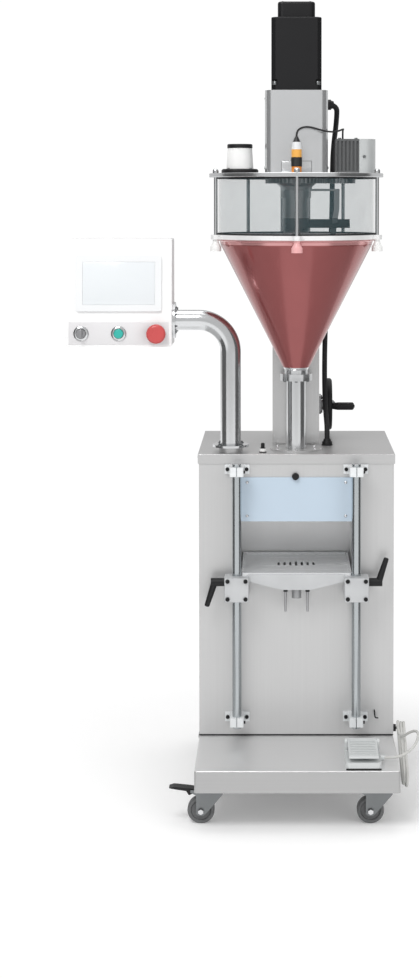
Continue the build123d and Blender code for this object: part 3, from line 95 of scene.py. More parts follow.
class Reading:
    """A shader value: arithmetic on it adds Math nodes to its material."""

    def __init__(self, finish, socket):
        self.finish = finish
        self.socket = socket

    def math(self, operation, *values):
        """A Math node with these values."""
        settings = {"operation": operation}
        return self.finish.node("ShaderNodeMath", settings, dict(enumerate(values)))

    def __add__(self, other):
        return self.math("ADD", self, other)

    def __radd__(self, other):
        return self.math("ADD", other, self)

    def __sub__(self, other):
        return self.math("SUBTRACT", self, other)

    def __rsub__(self, other):
        return self.math("SUBTRACT", other, self)

    def __mul__(self, other):
        return self.math("MULTIPLY", self, other)

    def __rmul__(self, other):
        return self.math("MULTIPLY", other, self)

    def __gt__(self, other):
        return self.math("GREATER_THAN", self, other)

    def __lt__(self, other):
        return self.math("LESS_THAN", self, other)

    def fade(self, low, high):
        """0 below low, 1 above high and smooth between them."""
        settings = {"interpolation_type": "SMOOTHSTEP"}
        inputs = {"Value": self, "From Min": low, "From Max": high}
        return self.finish.node("ShaderNodeMapRange", settings, inputs)

    def swing(self, reach):
        """The value about its middle, as wide as reach."""
        return reach * (self - 0.5)


class Finish:
    """One procedural material with a Principled shader."""

    def __init__(self, name, **sockets):
        self.material = bpy.data.materials.new(name)
        self.material.use_nodes = True
        self.tree = self.material.node_tree
        self.shader = self.tree.nodes["Principled BSDF"]
        for label, value in sockets.items():
            self.shader.inputs[label.replace("_", " ").title()].default_value = value

    def node(self, kind, settings=None, inputs=None, output=0):
        """A node of any type: its settings first, then its sockets' values or links."""
        made = self.tree.nodes.new(kind)
        for name, value in (settings or {}).items():
            setattr(made, name, value)
        for name, value in (inputs or {}).items():
            self.feed(made.inputs[name], value)
        return Reading(self, made.outputs[output])

    def feed(self, socket, value):
        """Links a reading to a socket, or sets the socket to a plain value."""
        if isinstance(value, Reading):
            self.tree.links.new(value.socket, socket)
        else:
            socket.default_value = value

    def set(self, label, value):
        """Feeds a socket of the shader."""
        self.feed(self.shader.inputs[label], value)

    def place(self):
        """Object coordinates, which are the machine's own."""
        return self.node("ShaderNodeTexCoord", output=3)

    def coordinate(self, index):
        """One of the object coordinates, in metres."""
        return self.node("ShaderNodeSeparateXYZ", None, {0: self.place()}, output=index)

    def across(self):
        """Distance to the right in metres."""
        return self.coordinate(0)

    def depth(self):
        """Distance to the back in metres."""
        return self.coordinate(1)

    def height(self):
        """Height above the floor in metres."""
        return self.coordinate(2)

    def noise(self, scale, detail=3.0, vector=None):
        """Soft noise at a scale, in object coordinates unless others are given."""
        inputs = {"Vector": vector or self.place(), "Scale": scale, "Detail": detail}
        return self.node("ShaderNodeTexNoise", None, inputs)

    def grain(self, stretch, detail):
        """Noise that is drawn out along one axis by its three scales."""
        vector = self.node("ShaderNodeMapping", None, {"Vector": self.place(), "Scale": stretch})
        return self.noise(1.0, detail, vector)

    def blend(self, factor, first, second):
        """A colour between two."""
        inputs = {"Factor": factor, 6: first, 7: second}
        return self.node("ShaderNodeMix", {"data_type": "RGBA"}, inputs, output=2)

    def bump(self, height, strength, distance):
        """Fine relief from a reading, with its depth in metres."""
        inputs = {"Height": height, "Strength": strength, "Distance": distance}
        self.set("Normal", self.node("ShaderNodeBump", None, inputs))


def grey(level):
    """A neutral colour."""
    return (level, level, level)


def rgba(colour, share=1.0):
    """A colour with its alpha, made darker or lighter by a share."""
    return (colour[0] * share, colour[1] * share, colour[2] * share, 1.0)


BLACK = rgba(grey(0.0))
# Scales of a grain: up a sheet or across it, the same all ways, round a bar, along a tube and
# down the cone
UPRIGHT = (260, 260, 3)
LONG_UPRIGHT = (260, 260, 2)
SIDEWAYS = (3, 260, 260)
EVEN = (200, 200, 200)
TURNED = (90, 90, 400)
DRAWN = (420, 420, 9)
ROLLED = (40, 40, 2)


def brushed_steel(name, colour, grain=UPRIGHT, roughness=0.33, metallic=1.0, second=None,
                  marks=1.0):
    """Satin sheet with a fine grain, as strong as marks, and a faint cloudy sheen.

    second is another colour and a function that tells where a finish has it; it carries the painted
    light of the plinth's top and of the bay, and the spout's own darker steel.
    """
    finish = Finish(name, metallic=metallic)
    lines = finish.grain(grain, detail=4.0)
    clouds = finish.noise(5.0)
    tone = finish.blend(0.6 * lines + 0.4 * clouds, rgba(colour, 0.93), rgba(colour, 1.05))
    if second:
        other, where = second
        tone = finish.blend(where(finish), tone, rgba(other))
    finish.set("Base Color", tone)
    finish.set("Roughness", roughness + lines.swing(0.14 * marks) + clouds.swing(0.10))
    finish.bump(lines, strength=0.06 * marks, distance=0.0004)
    return finish.material


def polished_steel(name, colour):
    """Bright tube and bar with faint drawing marks and smears."""
    finish = Finish(name, metallic=1.0)
    marks = finish.grain(DRAWN, detail=3.0)
    smears = finish.noise(9.0, detail=2.0)
    finish.set("Base Color", finish.blend(smears, rgba(colour, 0.93), rgba(colour, 1.03)))
    finish.set("Roughness", 0.12 + 0.07 * marks + 0.06 * smears)
    finish.bump(marks, strength=0.03, distance=0.0003)
    return finish.material


def cast_metal(name, colour, roughness, metallic, shine=0.5):
    """Cast or blasted metal with a fine grain."""
    finish = Finish(name, metallic=metallic)
    finish.set("Specular IOR Level", shine)
    grain = finish.noise(900.0, detail=2.0)
    clouds = finish.noise(22.0)
    finish.set("Base Color", finish.blend(clouds, rgba(colour, 0.88), rgba(colour, 1.08)))
    finish.set("Roughness", roughness + grain.swing(0.12))
    finish.bump(grain, strength=0.10, distance=0.0003)
    return finish.material


def moulded(name, colour, roughness, grain=1200.0, relief=0.08, shine=0.5):
    """Moulded plastic or rubber with a fine skin and a little uneven gloss."""
    finish = Finish(name)
    finish.set("Specular IOR Level", shine)
    skin = finish.noise(grain, detail=2.0)
    gloss = finish.noise(30.0)
    finish.set("Base Color", finish.blend(gloss, rgba(colour, 0.92), rgba(colour, 1.06)))
    finish.set("Roughness", roughness + gloss.swing(0.10))
    finish.bump(skin, strength=relief, distance=0.0002)
    return finish.material


def coated(name, colour, roughness, coat):
    """Painted sheet with a slight orange peel."""
    finish = Finish(name, coat_weight=coat, coat_roughness=0.12)
    peel = finish.noise(260.0, detail=1.0)
    clouds = finish.noise(6.0)
    finish.set("Base Color", finish.blend(clouds, rgba(colour, 0.95), rgba(colour, 1.04)))
    finish.set("Roughness", roughness + clouds.swing(0.08))
    finish.bump(peel, strength=0.05, distance=0.0003)
    return finish.material


def clear_sheet(name, colour, alpha):
    """Clear plastic with faint dust."""
    finish = Finish(name)
    dust = finish.noise(18.0, detail=4.0)
    finish.set("Base Color", finish.blend(dust, rgba(colour, 0.96), rgba(colour)))
    finish.set("Roughness", 0.06 + 0.08 * dust)
    finish.set("Alpha", alpha + 0.06 * dust)
    return finish.material


def banded(name, bands, top_colour, roughness=0.4, metallic=0.0):
    """A piece of several materials: colours by height, as (top in metres, colour)."""
    finish = Finish(name, metallic=metallic)
    height = finish.height()
    colour = rgba(top_colour)
    for top, tone in reversed(bands):
        colour = finish.blend(height > top, rgba(tone), colour)
    finish.set("Base Color", colour)
    finish.set("Roughness", roughness + finish.noise(40.0, detail=2.0).swing(0.12))
    finish.bump(finish.noise(800.0, detail=2.0), strength=0.05, distance=0.0002)
    return finish.material


def motor_with_painted_reflection(name, dark, light, reflection_edge):
    """Gear motor: light smooth cover, its left half painted dark as a painted reflection of the
    black servo motor and housing.
    """
    finish = Finish(name, metallic=0.35)
    grain = finish.noise(700.0, detail=2.0)
    clouds = finish.noise(20.0)
    # Left of the edge the cover is painted dark: a painted reflection of the black servo motor and
    # housing.
    tone = finish.blend(finish.across() > reflection_edge, rgba(dark), rgba(light))
    finish.set("Base Color", finish.blend(0.3 * clouds, tone, rgba(dark)))
    finish.set("Roughness", 0.42 + grain.swing(0.12))
    finish.bump(grain, strength=0.08, distance=0.0003)
    return finish.material


def front_tinted(name, colour, tint, front):
    """Moulded knobs, of which those in front of a plane are tinted."""
    finish = Finish(name)
    skin = finish.noise(500.0, detail=2.0)
    gloss = finish.noise(30.0)
    tone = finish.blend(finish.depth() < front, rgba(colour), rgba(tint))
    finish.set("Base Color", finish.blend(0.08 * gloss, tone, BLACK))
    finish.set("Roughness", 0.32 + gloss.swing(0.10))
    finish.bump(skin, strength=0.08, distance=0.0002)
    return finish.material


def hopper_red(name, colour, rim, rim_height, steel, collar_height):
    """Glossy tinted cone with rolling marks, paler at its rim and bare steel at its collar."""
    finish = Finish(name, coat_weight=0.4, coat_roughness=0.08)
    height = finish.height()
    collar = height < collar_height
    marks = finish.grain(ROLLED, detail=3.0)
    clouds = finish.noise(7.0)
    tone = finish.blend(0.5 * marks + 0.5 * clouds, rgba(colour, 0.90), rgba(colour, 1.10))
    tinted = finish.blend(height > rim_height, tone, rgba(rim))
    finish.set("Base Color", finish.blend(collar, tinted, rgba(steel)))
    finish.set("Metallic", 0.55 + 0.4 * collar)
    finish.set("Roughness", 0.17 + 0.1 * marks)
    finish.bump(marks, strength=0.03, distance=0.0005)
    return finish.material


SHARP_ANGLE = math.radians(35.0)
# Screw heads, as shares of their radius and height
SCREW_SIDES = 16
SCREW_RIM = 0.16
SCREW_LAND = 0.36
SOCKET_DEPTH = 0.55
HEX_CHAMFER = 0.14
WASHER_SIDES = 18
WASHER_LOW = 1.45
WASHER_HIGH = 1.38
DOME_RECESS = [(0, 0.45), (0.3, 0.5), (0.34, 0.98)]


def aim(axis):
    """Turns +Z to an axis."""
    return Vector(UP).rotation_difference(Vector(axis)).to_matrix().to_4x4()


def add_piece(name, mesh):
    """An object of its own in the scene."""
    piece = bpy.data.objects.new(name, mesh)
    bpy.context.scene.collection.objects.link(piece)
    return piece


def settle(bm, name, material, body):
    """Makes a finished bmesh a piece that rides on a body."""
    mesh = bpy.data.meshes.new(name)
    bm.to_mesh(mesh)
    bm.free()
    mesh.materials.append(material)
    mesh.shade_smooth()
    mesh.set_sharp_from_angle(angle=SHARP_ANGLE)
    piece = add_piece(name, mesh)
    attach(piece, body)
    return piece


def fit(shape, places, name, key, body):
    """Settles copies of a shape, at (point, axis) places, as one piece with a finish."""
    return settle(repeat(shape, places), name, surface(key), body)


def repeat(shape, places):
    """Copies a shape to each (point, axis) place."""
    template = bpy.data.meshes.new("template")
    shape.to_mesh(template)
    shape.free()
    bm = bmesh.new()
    for point, axis in places:
        first = len(bm.verts)
        bm.from_mesh(template)
        bm.verts.ensure_lookup_table()
        move = Matrix.Translation(point) @ aim(axis)
        bmesh.ops.transform(bm, matrix=move, verts=bm.verts[first:])
    bpy.data.meshes.remove(template)
    return bm


def ring_places(centre, radius, count, axis, start=45.0):
    """Places round a circle, in millimetres off its centre."""
    turn = aim(axis)
    places = []
    for index in range(count):
        angle = math.radians(start + index * 360 / count)
        offset = Vector((radius * MM * math.cos(angle), radius * MM * math.sin(angle), 0))
        places.append((centre + turn @ offset, axis))
    return places


def lathe(points, steps=24):
    """An outline of (radius, height) points in millimetres spun about Z."""
    bm = bmesh.new()
    verts = [bm.verts.new((radius * MM, 0, height * MM)) for radius, height in points]
    edges = [bm.edges.new(pair) for pair in zip(verts, verts[1:])]
    bmesh.ops.spin(bm, geom=verts + edges, cent=(0, 0, 0), axis=UP, angle=2 * math.pi,
                   steps=steps, use_merge=True)
    bmesh.ops.remove_doubles(bm, verts=bm.verts, dist=1e-7)
    bmesh.ops.recalc_face_normals(bm, faces=bm.faces)
    return bm


def soften(bm, edges, offset, segments):
    """Rounds edges by an offset in millimetres."""
    bmesh.ops.bevel(bm, geom=edges, offset=offset * MM, segments=segments, profile=0.5,
                    affect="EDGES", material=-1)


def top_face(bm):
    """The face that lies highest."""
    return max(bm.faces, key=lambda face: face.calc_center_median().z)


def add_disc(bm, sides, low_radius, high_radius, height, bottom=0.0):
    """A round or many-sided disc standing at a height, in millimetres."""
    made = bmesh.ops.create_cone(bm, cap_ends=True, segments=sides, radius1=low_radius * MM,
                                 radius2=high_radius * MM, depth=height * MM)
    bmesh.ops.translate(bm, vec=(0, 0, (bottom + height / 2) * MM), verts=made["verts"])


def rounded_plate(width, depth, height, edge):
    """A block standing on Z = 0 with all its edges rounded, in millimetres."""
    bm = bmesh.new()
    made = bmesh.ops.create_cube(bm, size=1.0)
    bmesh.ops.scale(bm, vec=(width * MM, depth * MM, height * MM), verts=made["verts"])
    bmesh.ops.translate(bm, vec=(0, 0, height * MM / 2), verts=made["verts"])
    soften(bm, bm.edges[:], edge, segments=2)
    return bm


def socket_screw(radius, height):
    """Cap screw: a round head with a rounded rim and a socket sunk into it."""
    bm = bmesh.new()
    add_disc(bm, SCREW_SIDES, radius, radius, height)
    soften(bm, list(top_face(bm).edges), radius * SCREW_RIM, segments=2)
    top = top_face(bm)
    bmesh.ops.inset_region(bm, faces=[top], thickness=radius * SCREW_LAND * MM)
    sunk = bmesh.ops.extrude_discrete_faces(bm, faces=[top])["faces"][0]
    bmesh.ops.translate(bm, vec=(0, 0, -height * SOCKET_DEPTH * MM), verts=sunk.verts)
    return bm


def hex_bolt(radius, height, washer=0.0):
    """Hexagon head with chamfered corners, on a washer where one has a thickness."""
    bm = bmesh.new()
    add_disc(bm, 6, radius, radius, height, washer)
    soften(bm, list(top_face(bm).edges), radius * HEX_CHAMFER, segments=1)
    if washer:
        add_disc(bm, WASHER_SIDES, radius * WASHER_LOW, radius * WASHER_HIGH, washer)
    return bm


def dome_screw(radius, height):
    """Low domed screw with a driver recess."""
    outline = [(radius * out, height * up) for out, up in DOME_RECESS]
    for degrees in range(30, 91, 12):
        turn = math.radians(degrees)
        outline.append((radius * math.sin(turn), height * math.cos(turn)))
    return lathe(outline + [(radius, 0)], SCREW_SIDES)


def smooth_line(name, points, radius, resolution=10):
    """A round lead along a smooth line with these points as its control points."""
    curve = bpy.data.curves.new(name, "CURVE")
    curve.dimensions = "3D"
    curve.bevel_depth = radius * MM
    curve.bevel_resolution = 4
    curve.use_fill_caps = True
    spline = curve.splines.new("NURBS")
    spline.points.add(len(points) - 1)
    for point, place in zip(spline.points, points):
        point.co = (*at(*place), 1.0)
    spline.order_u = 3
    spline.use_endpoint_u = True
    spline.resolution_u = resolution
    return add_piece(name, curve)


def as_mesh(line, material):
    """Turns a lead into a mesh piece of the same name."""
    name = line.name
    bpy.context.view_layer.update()
    drawn = line.evaluated_get(bpy.context.evaluated_depsgraph_get())
    mesh = bpy.data.meshes.new_from_object(drawn)
    bpy.data.objects.remove(line)
    mesh.materials.clear()
    mesh.materials.append(material)
    mesh.shade_smooth()
    return add_piece(name, mesh)


def colour_property(name, description, default):
    """A colour that the sidebar shows."""
    return FloatVectorProperty(name=name, description=description, subtype="COLOR", size=3,
                               min=0.0, max=1.0, default=default)


def length_property(name, description, default, low, high):
    """A length in metres that the sidebar shows."""
    return FloatProperty(name=name, description=description, unit="LENGTH", default=default,
                         min=low, max=high)


def power_property(name, description, default):
    """A light's power in watts that the sidebar shows."""
    return FloatProperty(name=name, description=description, unit="POWER", default=default,
                         min=0.0, max=2000.0)


class FillerFinishes(bpy.types.PropertyGroup):
    """Colours of the machine's surfaces."""

    sheet: colour_property(
        "Cabinet sheet", "Brushed stainless sheet of the cabinet and column", (0.60, 0.60, 0.60))
    bright: colour_property(
        "Bright steel", "Polished tube and pipe, and the housing's sheet", (0.74, 0.75, 0.76))
    block: colour_property(
        "Blocks", "Blasted aluminium of the slide blocks", (0.58, 0.59, 0.60))
    cone: colour_property("Cone", "Tinted cone of the hopper", (0.31, 0.083, 0.083))
    cone_rim: colour_property("Cone rim", "Paler band at the cone's rim", (0.68, 0.34, 0.34))
    guard: colour_property(
        "Guard", "Pale sheet in front of the filling bay", (0.50, 0.60, 0.70))
    window: colour_property("Window", "Clear wall of the hopper", (0.11, 0.18, 0.20))
    panel: colour_property("Panel", "Powder coat of the control box", (0.86, 0.86, 0.86))
    strip: colour_property("Button strip", "Strip behind the buttons", (0.70, 0.69, 0.70))
    motor: colour_property("Servo motor", "Black of the servo motor", (0.008, 0.008, 0.009))
    black: colour_property(
        "Black plastic", "Handwheel, levers, caps and screws", (0.012, 0.012, 0.013))
    white: colour_property("White plastic", "Feed neck and clamp knobs", (0.84, 0.84, 0.83))
    cord: colour_property("Cord", "Jacket of the pedal's cord", (0.56, 0.56, 0.54))


class FillerFittings(bpy.types.PropertyGroup):
    """Sizes of the fasteners and trim."""

    bracket_screw: length_property(
        "Bracket screw", "Head radius of the shaft supports' screws", 0.0042, 0.002, 0.006)
    block_screw: length_property(
        "Block screw", "Head radius of the slide blocks' corner screws", 0.0046, 0.002, 0.006)
    sheet_screw: length_property(
        "Sheet screw", "Head radius of the small screws in the sheets", 0.0035, 0.002, 0.005)
    tread_ribs: IntProperty(
        name="Tread ribs", description="Ribs on the foot pedal", default=9, min=3, max=14)


class FillerStage(bpy.types.PropertyGroup):
    """Camera and light."""

    distance: length_property(
        "Camera distance", "From the camera to the auger's axis", 4.04, 1.0, 12.0)
    eye: length_property(
        "Camera height", "Height of the camera above the floor", 1.315, 0.1, 4.0)
    side: length_property(
        "Camera side", "Camera's place to the right of the auger's axis", -0.036, -3.0, 3.0)
    tilt: FloatProperty(
        name="Camera tilt", description="How far the camera looks down", unit="ROTATION",
        default=math.radians(2.6), min=0.0, max=0.5)
    key: power_property("Key light", "Power of the light at the front left", 64.0)
    fill: power_property("Fill light", "Power of the light at the front right", 26.0)
    top: power_property("Top light", "Power of the light over the machine", 18.0)
    sky: FloatProperty(
        name="Surround", description="Brightness of the white surround", default=0.62, min=0.0,
        max=4.0)


def colours():
    """The machine's colours as the sidebar has them."""
    return bpy.context.scene.filler_finishes


def sizes():
    """The fittings' sizes as the sidebar has them."""
    return bpy.context.scene.filler_fittings


# Where a solid changes its colour, in metres
LID_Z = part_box("hopper_lid")[1].z
CONE_LOW, CONE_TOP = (corner.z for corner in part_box("hopper_cone"))
RIM_Z = CONE_TOP - 0.011
COLLAR_Z = CONE_LOW + 0.021
PADDLE_TOP = 1.268
SPOUT_TOP = 0.462
DECK_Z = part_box("base_plinth")[1].z - 0.0015
BAY_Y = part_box("front_panel")[0].y + 0.004
KNOB_FRONT_Y = AXIS_Y - 0.15
# Gear motor's cover is painted dark left of this line: a painted reflection of the black servo
# motor.
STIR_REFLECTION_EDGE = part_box("stir_motor")[0].x + 0.051
# Inside the bay the front sheet is painted far lighter: painted light against the shade of the
# recess.
BAY_PAINTED_LIGHT = (grey(0.92), lambda made: made.depth() > BAY_Y)
# Top of the plinth painted far lighter than its front: a painted reflection of the cabinet on the
# deck.
PLINTH_TOP_PAINTED_LIGHT = (grey(0.82), lambda made: made.height() > DECK_Z)
SPOUT = ((0.34, 0.345, 0.35), lambda made: made.height() < SPOUT_TOP)
PADDLE_BAND = [(PADDLE_TOP, (0.12, 0.125, 0.13))]
PROBE_BANDS = [
    (LID_Z - 0.002, (0.20, 0.20, 0.21)),
    (LID_Z + 0.014, (0.70, 0.24, 0.03)),
    (LID_Z + 0.034, (0.02, 0.02, 0.02)),
    (LID_Z + 0.051, (0.80, 0.40, 0.08)),
    (LID_Z + 0.067, (0.70, 0.71, 0.72)),
]
PROBE_TIP = (0.015, 0.015, 0.016)
SHEET = {"metallic": 0.5}
# The plinth's sheet: grey front, with the painted reflection on its top.
BASE = {"grain": SIDEWAYS, "roughness": 0.34, "metallic": 0.7, "second": PLINTH_TOP_PAINTED_LIGHT, "marks": 0.3}
COVER = {"grain": SIDEWAYS, "roughness": 0.36, "metallic": 0.7}
HOUSING = {"grain": LONG_UPRIGHT, "roughness": 0.2, "metallic": 0.8}
COLUMN = {"grain": LONG_UPRIGHT, "roughness": 0.24, "metallic": 0.75}
TRAY = {"grain": SIDEWAYS, "roughness": 0.24, "metallic": 0.5, "second": SPOUT}
RING = {"grain": EVEN, "roughness": 0.3, "metallic": 0.3}
BAR = {"grain": TURNED, "roughness": 0.3}
RECIPES = {
    "sheet": lambda c: brushed_steel("cabinet_sheet", c.sheet, **SHEET),
    # The front sheet is painted lighter inside the bay, as painted light.
    "panel_front": lambda c: brushed_steel("front_sheet", c.sheet, second=BAY_PAINTED_LIGHT, **SHEET),
    "base": lambda c: brushed_steel("plinth_sheet", grey(0.47), **BASE),
    "deck": lambda c: brushed_steel("base_sheet", c.sheet, **COVER),
    "housing": lambda c: brushed_steel("housing_sheet", c.bright, **HOUSING),
    "column": lambda c: brushed_steel("column_sheet", c.sheet, **COLUMN),
    "lid": lambda c: brushed_steel("lid_plate", c.bright, grain=EVEN, roughness=0.22),
    "tray": lambda c: brushed_steel("tray_sheet", (0.88, 0.89, 0.90), **TRAY),
    "machined": lambda c: brushed_steel("machined_steel", (0.42, 0.42, 0.43), **BAR),
    "ring": lambda c: brushed_steel("ring_steel", grey(0.88), **RING),
    "quill": lambda c: brushed_steel("quill_steel", (0.22, 0.225, 0.23), **BAR),
    "bright": lambda c: polished_steel("bright_tube", c.bright),
    "rod": lambda c: polished_steel("guide_rod", (0.50, 0.53, 0.545)),
    "stirrer": lambda c: banded(
        "stirrer_steel", PADDLE_BAND, (0.34, 0.345, 0.35), roughness=0.3, metallic=0.7),
    "sensor": lambda c: banded("level_probe", PROBE_BANDS, PROBE_TIP),
    "block": lambda c: cast_metal("blasted_block", c.block, roughness=0.42, metallic=0.35),
    "bracket": lambda c: cast_metal(
        "bracket_casting", (0.80, 0.82, 0.83), roughness=0.45, metallic=0.2),
    "zinc": lambda c: cast_metal("zinc_plate", (0.22, 0.23, 0.235), roughness=0.35, metallic=0.8),
    "servo": lambda c: cast_metal("servo_case", c.motor, roughness=0.38, metallic=0.0, shine=0.3),
    "stir": lambda c: motor_with_painted_reflection(
        "gear_motor", (0.12, 0.123, 0.125), (0.62, 0.64, 0.64), STIR_REFLECTION_EDGE),
    "window": lambda c: clear_sheet("hopper_wall", c.window, alpha=0.11),
    "cone": lambda c: hopper_red("hopper_tint", c.cone, c.cone_rim, RIM_Z, c.bright, COLLAR_Z),
    "knob": lambda c: front_tinted("knob_plastic", c.white, (0.78, 0.40, 0.40), KNOB_FRONT_Y),
    "white": lambda c: moulded("white_plastic", c.white, roughness=0.32),
    "black": lambda c: moulded("black_plastic", c.black, roughness=0.42, shine=0.3),
    "rubber": lambda c: moulded(
        "black_rubber", (0.016, 0.016, 0.017), roughness=0.6, grain=700.0, relief=0.15, shine=0.3),
    "tyre": lambda c: moulded(
        "grey_tyre", (0.125, 0.128, 0.130), roughness=0.5, grain=500.0, relief=0.15),
    "cord": lambda c: moulded("cord_jacket", c.cord, roughness=0.5, grain=900.0, relief=0.1),
    "red": lambda c: moulded("red_cap", (0.54, 0.075, 0.075), roughness=0.28),
    "green": lambda c: moulded("green_cap", (0.035, 0.42, 0.36), roughness=0.25),
    "card": lambda c: moulded("dark_card", grey(0.11), roughness=0.9, shine=0.0),
    "grey_card": lambda c: moulded("grey_card", grey(0.52), roughness=0.9, shine=0.0),
    "guard": lambda c: coated("guard_sheet", c.guard, roughness=0.22, coat=0.4),
    "panel": lambda c: coated("panel_coat", c.panel, roughness=0.4, coat=0.2),
    "strip": lambda c: coated("button_strip", c.strip, roughness=0.45, coat=0.0),
    "screen": lambda c: coated("screen_frame", (0.78, 0.79, 0.80), roughness=0.35, coat=0.2),
    "display": lambda c: coated("display_glass", (0.74, 0.77, 0.79), roughness=0.08, coat=1.0),
    "pedal": lambda c: coated("pedal_coat", (0.60, 0.62, 0.62), roughness=0.4, coat=0.2),
}
CORNERS = ("front_left", "front_right", "rear_left", "rear_right")
FINISHED_NODES = {
    "base": ["base_plinth"],
    "sheet": ["cabinet_shell"],
    "panel_front": ["front_panel"],
    "deck": ["top_cover"],
    "guard": ["guard_panel"],
    "rod": ["guide_rods"],
    "bracket": ["rod_brackets"],
    "tray": ["tray_pan"],
    "block": ["tray_carriage"],
    "column": ["lift_column"],
    "housing": ["head_housing"],
    "servo": ["servo_motor"],
    "stir": ["stir_motor"],
    "stirrer": ["agitator"],
    "quill": ["bearing_housing"],
    "bright": ["mast", "tie_rods", "auger_tube", "auger_screw", "arm_pipe"],
    "machined": ["lift_screw", "shaft_bearing", "stir_pinion", "selector_switch"],
    "lid": ["hopper_lid"],
    "window": ["hopper_window"],
    "ring": ["hopper_ring"],
    "cone": ["hopper_cone"],
    "knob": ["clamp_knobs"],
    "white": ["inlet_neck"],
    "sensor": ["level_sensor"],
    "panel": ["control_box", "box_back"],
    "screen": ["touch_screen"],
    "red": ["estop_button"],
    "green": ["start_button"],
    "pedal": ["pedal_base", "pedal_plate"],
    "black": ["handwheel", "crank_grip", "inlet_base", "inlet_cap", "cord_gland",
              "clamp_lever_left", "clamp_lever_right", "caster_brake"],
    "rubber": ["hopper_gaskets", "sensor_lead", "head_cable"],
    "cord": ["cord_hank", "pedal_cord"],
    "zinc": ["caster_plates", *("caster_fork_" + corner for corner in CORNERS)],
    "tyre": ["caster_wheel_" + corner for corner in CORNERS],
}
MADE = {}


def surface(key):
    """A finish by its short name, made when it is first asked for."""
    if key not in MADE:
        MADE[key] = RECIPES[key](colours())
    return MADE[key]


class FILLER_OT_finish_parts(bpy.types.Operator):
    """Gives every solid of the machine its finish."""

    bl_idname = "filler.finish_parts"
    bl_label = "Finish the machine's parts"

    def execute(self, context):
        for key, names in FINISHED_NODES.items():
            for name in names:
                NODES[name].data.materials.clear()
                NODES[name].data.materials.append(surface(key))
        return {"FINISHED"}


# Guide rods and their supports, in millimetres off the auger's axis and the floor
ROD_X = 130
SUPPORT_Z = (172, 720)
SUPPORT_SCREW_X = 21
SUPPORT_SCREW_Y = -89
SUPPORT_SCREW_HEIGHT = 4.5
SUPPORT_CLAMP = (15, -131.5)
CLAMP_SCREW_SHARE = 0.8
CLAMP_SCREW_HEIGHT = 3.5


class FILLER_OT_bracket_screws(bpy.types.Operator):
    """Dark screws in the shaft supports."""

    bl_idname = "filler.bracket_screws"
    bl_label = "Shaft support screws"

    def execute(self, context):
        radius = mm(sizes().bracket_screw)
        fronts, clamps = [], []
        for side in LEFT_RIGHT:
            x = side * ROD_X
            for z in SUPPORT_Z:
                fronts += [(at(x + ear * SUPPORT_SCREW_X, SUPPORT_SCREW_Y, z), FRONT)
                           for ear in LEFT_RIGHT]
                clamps.append((at(x + SUPPORT_CLAMP[0], SUPPORT_CLAMP[1], z), RIGHT))
        fit(socket_screw(radius, SUPPORT_SCREW_HEIGHT), fronts, "bracket_screws", "black", "root")
        fit(socket_screw(radius * CLAMP_SCREW_SHARE, CLAMP_SCREW_HEIGHT), clamps,
            "bracket_clamp_screws", "black", "root")
        return {"FINISHED"}


# Slide blocks of the tray; a plate is its width, depth, height and rounding
BLOCK_Z = 465.5
BLOCK_PLATE = (51, 51, 1.4, 0.6)
BLOCK_FRONT_Y = -148
BLOCK_SCREW_Y = -149.2
BLOCK_SCREW_SPACING = 19.5
BLOCK_SCREW_HEIGHT = 3.2


class FILLER_OT_block_plates(bpy.types.Operator):
    """Cover plates with four corner screws on the slide blocks."""

    bl_idname = "filler.block_plates"
    bl_label = "Slide block plates"

    def execute(self, context):
        screws, plates = [], []
        for side in LEFT_RIGHT:
            x = side * ROD_X
            plates.append((at(x, BLOCK_FRONT_Y, BLOCK_Z), FRONT))
            screws += [(at(x + sx * BLOCK_SCREW_SPACING, BLOCK_SCREW_Y,
                           BLOCK_Z + sz * BLOCK_SCREW_SPACING), FRONT)
                       for sx in LEFT_RIGHT for sz in LEFT_RIGHT]
        fit(rounded_plate(*BLOCK_PLATE), plates, "block_plates", "block", "tray")
        fit(socket_screw(mm(sizes().block_screw), BLOCK_SCREW_HEIGHT), screws, "block_screws",
            "black", "tray")
        return {"FINISHED"}


# Tray's studs; an outline is (radius, height) points
STUD_X = 24
STUD_Y = -111
STUD_Z = 463
STUD_OUTLINE = [(0, 52), (2.0, 52), (2.6, 51), (2.6, 5.0)]
STUD_NUT_OUTLINE = [(2.4, 8.2), (5.0, 8.2), (5.4, 7.8), (5.4, 0.4), (5.0, 0.0), (5.0, -0.5)]


class FILLER_OT_tray_fittings(bpy.types.Operator):
    """Studs beside the spout under the tray, with their black nuts."""

    bl_idname = "filler.tray_fittings"
    bl_label = "Tray studs"

    def execute(self, context):
        places = [(at(side * STUD_X, STUD_Y, STUD_Z), DOWN) for side in LEFT_RIGHT]
        fit(lathe(STUD_OUTLINE, 20), places, "spout_studs", "machined", "tray")
        fit(lathe(STUD_NUT_OUTLINE, 6), places, "spout_nuts", "black", "tray")
        return {"FINISHED"}


# Guard in front of the filling bay
GUARD_FRONT_Y = -83
GUARD_PLUG = (-2, 703)
GUARD_PLUG_OUTLINE = [(0, 9), (6.0, 8.4), (7.4, 6.6), (7.8, 3.0), (7.8, -1.0)]
GUARD_SCREW_X = 108
GUARD_SCREW_Z = (616, 690)
SHEET_SCREW_HEIGHT = 2.0


def sheet_screw():
    """Small domed screw of the sheets."""
    return dome_screw(mm(sizes().sheet_screw), SHEET_SCREW_HEIGHT)


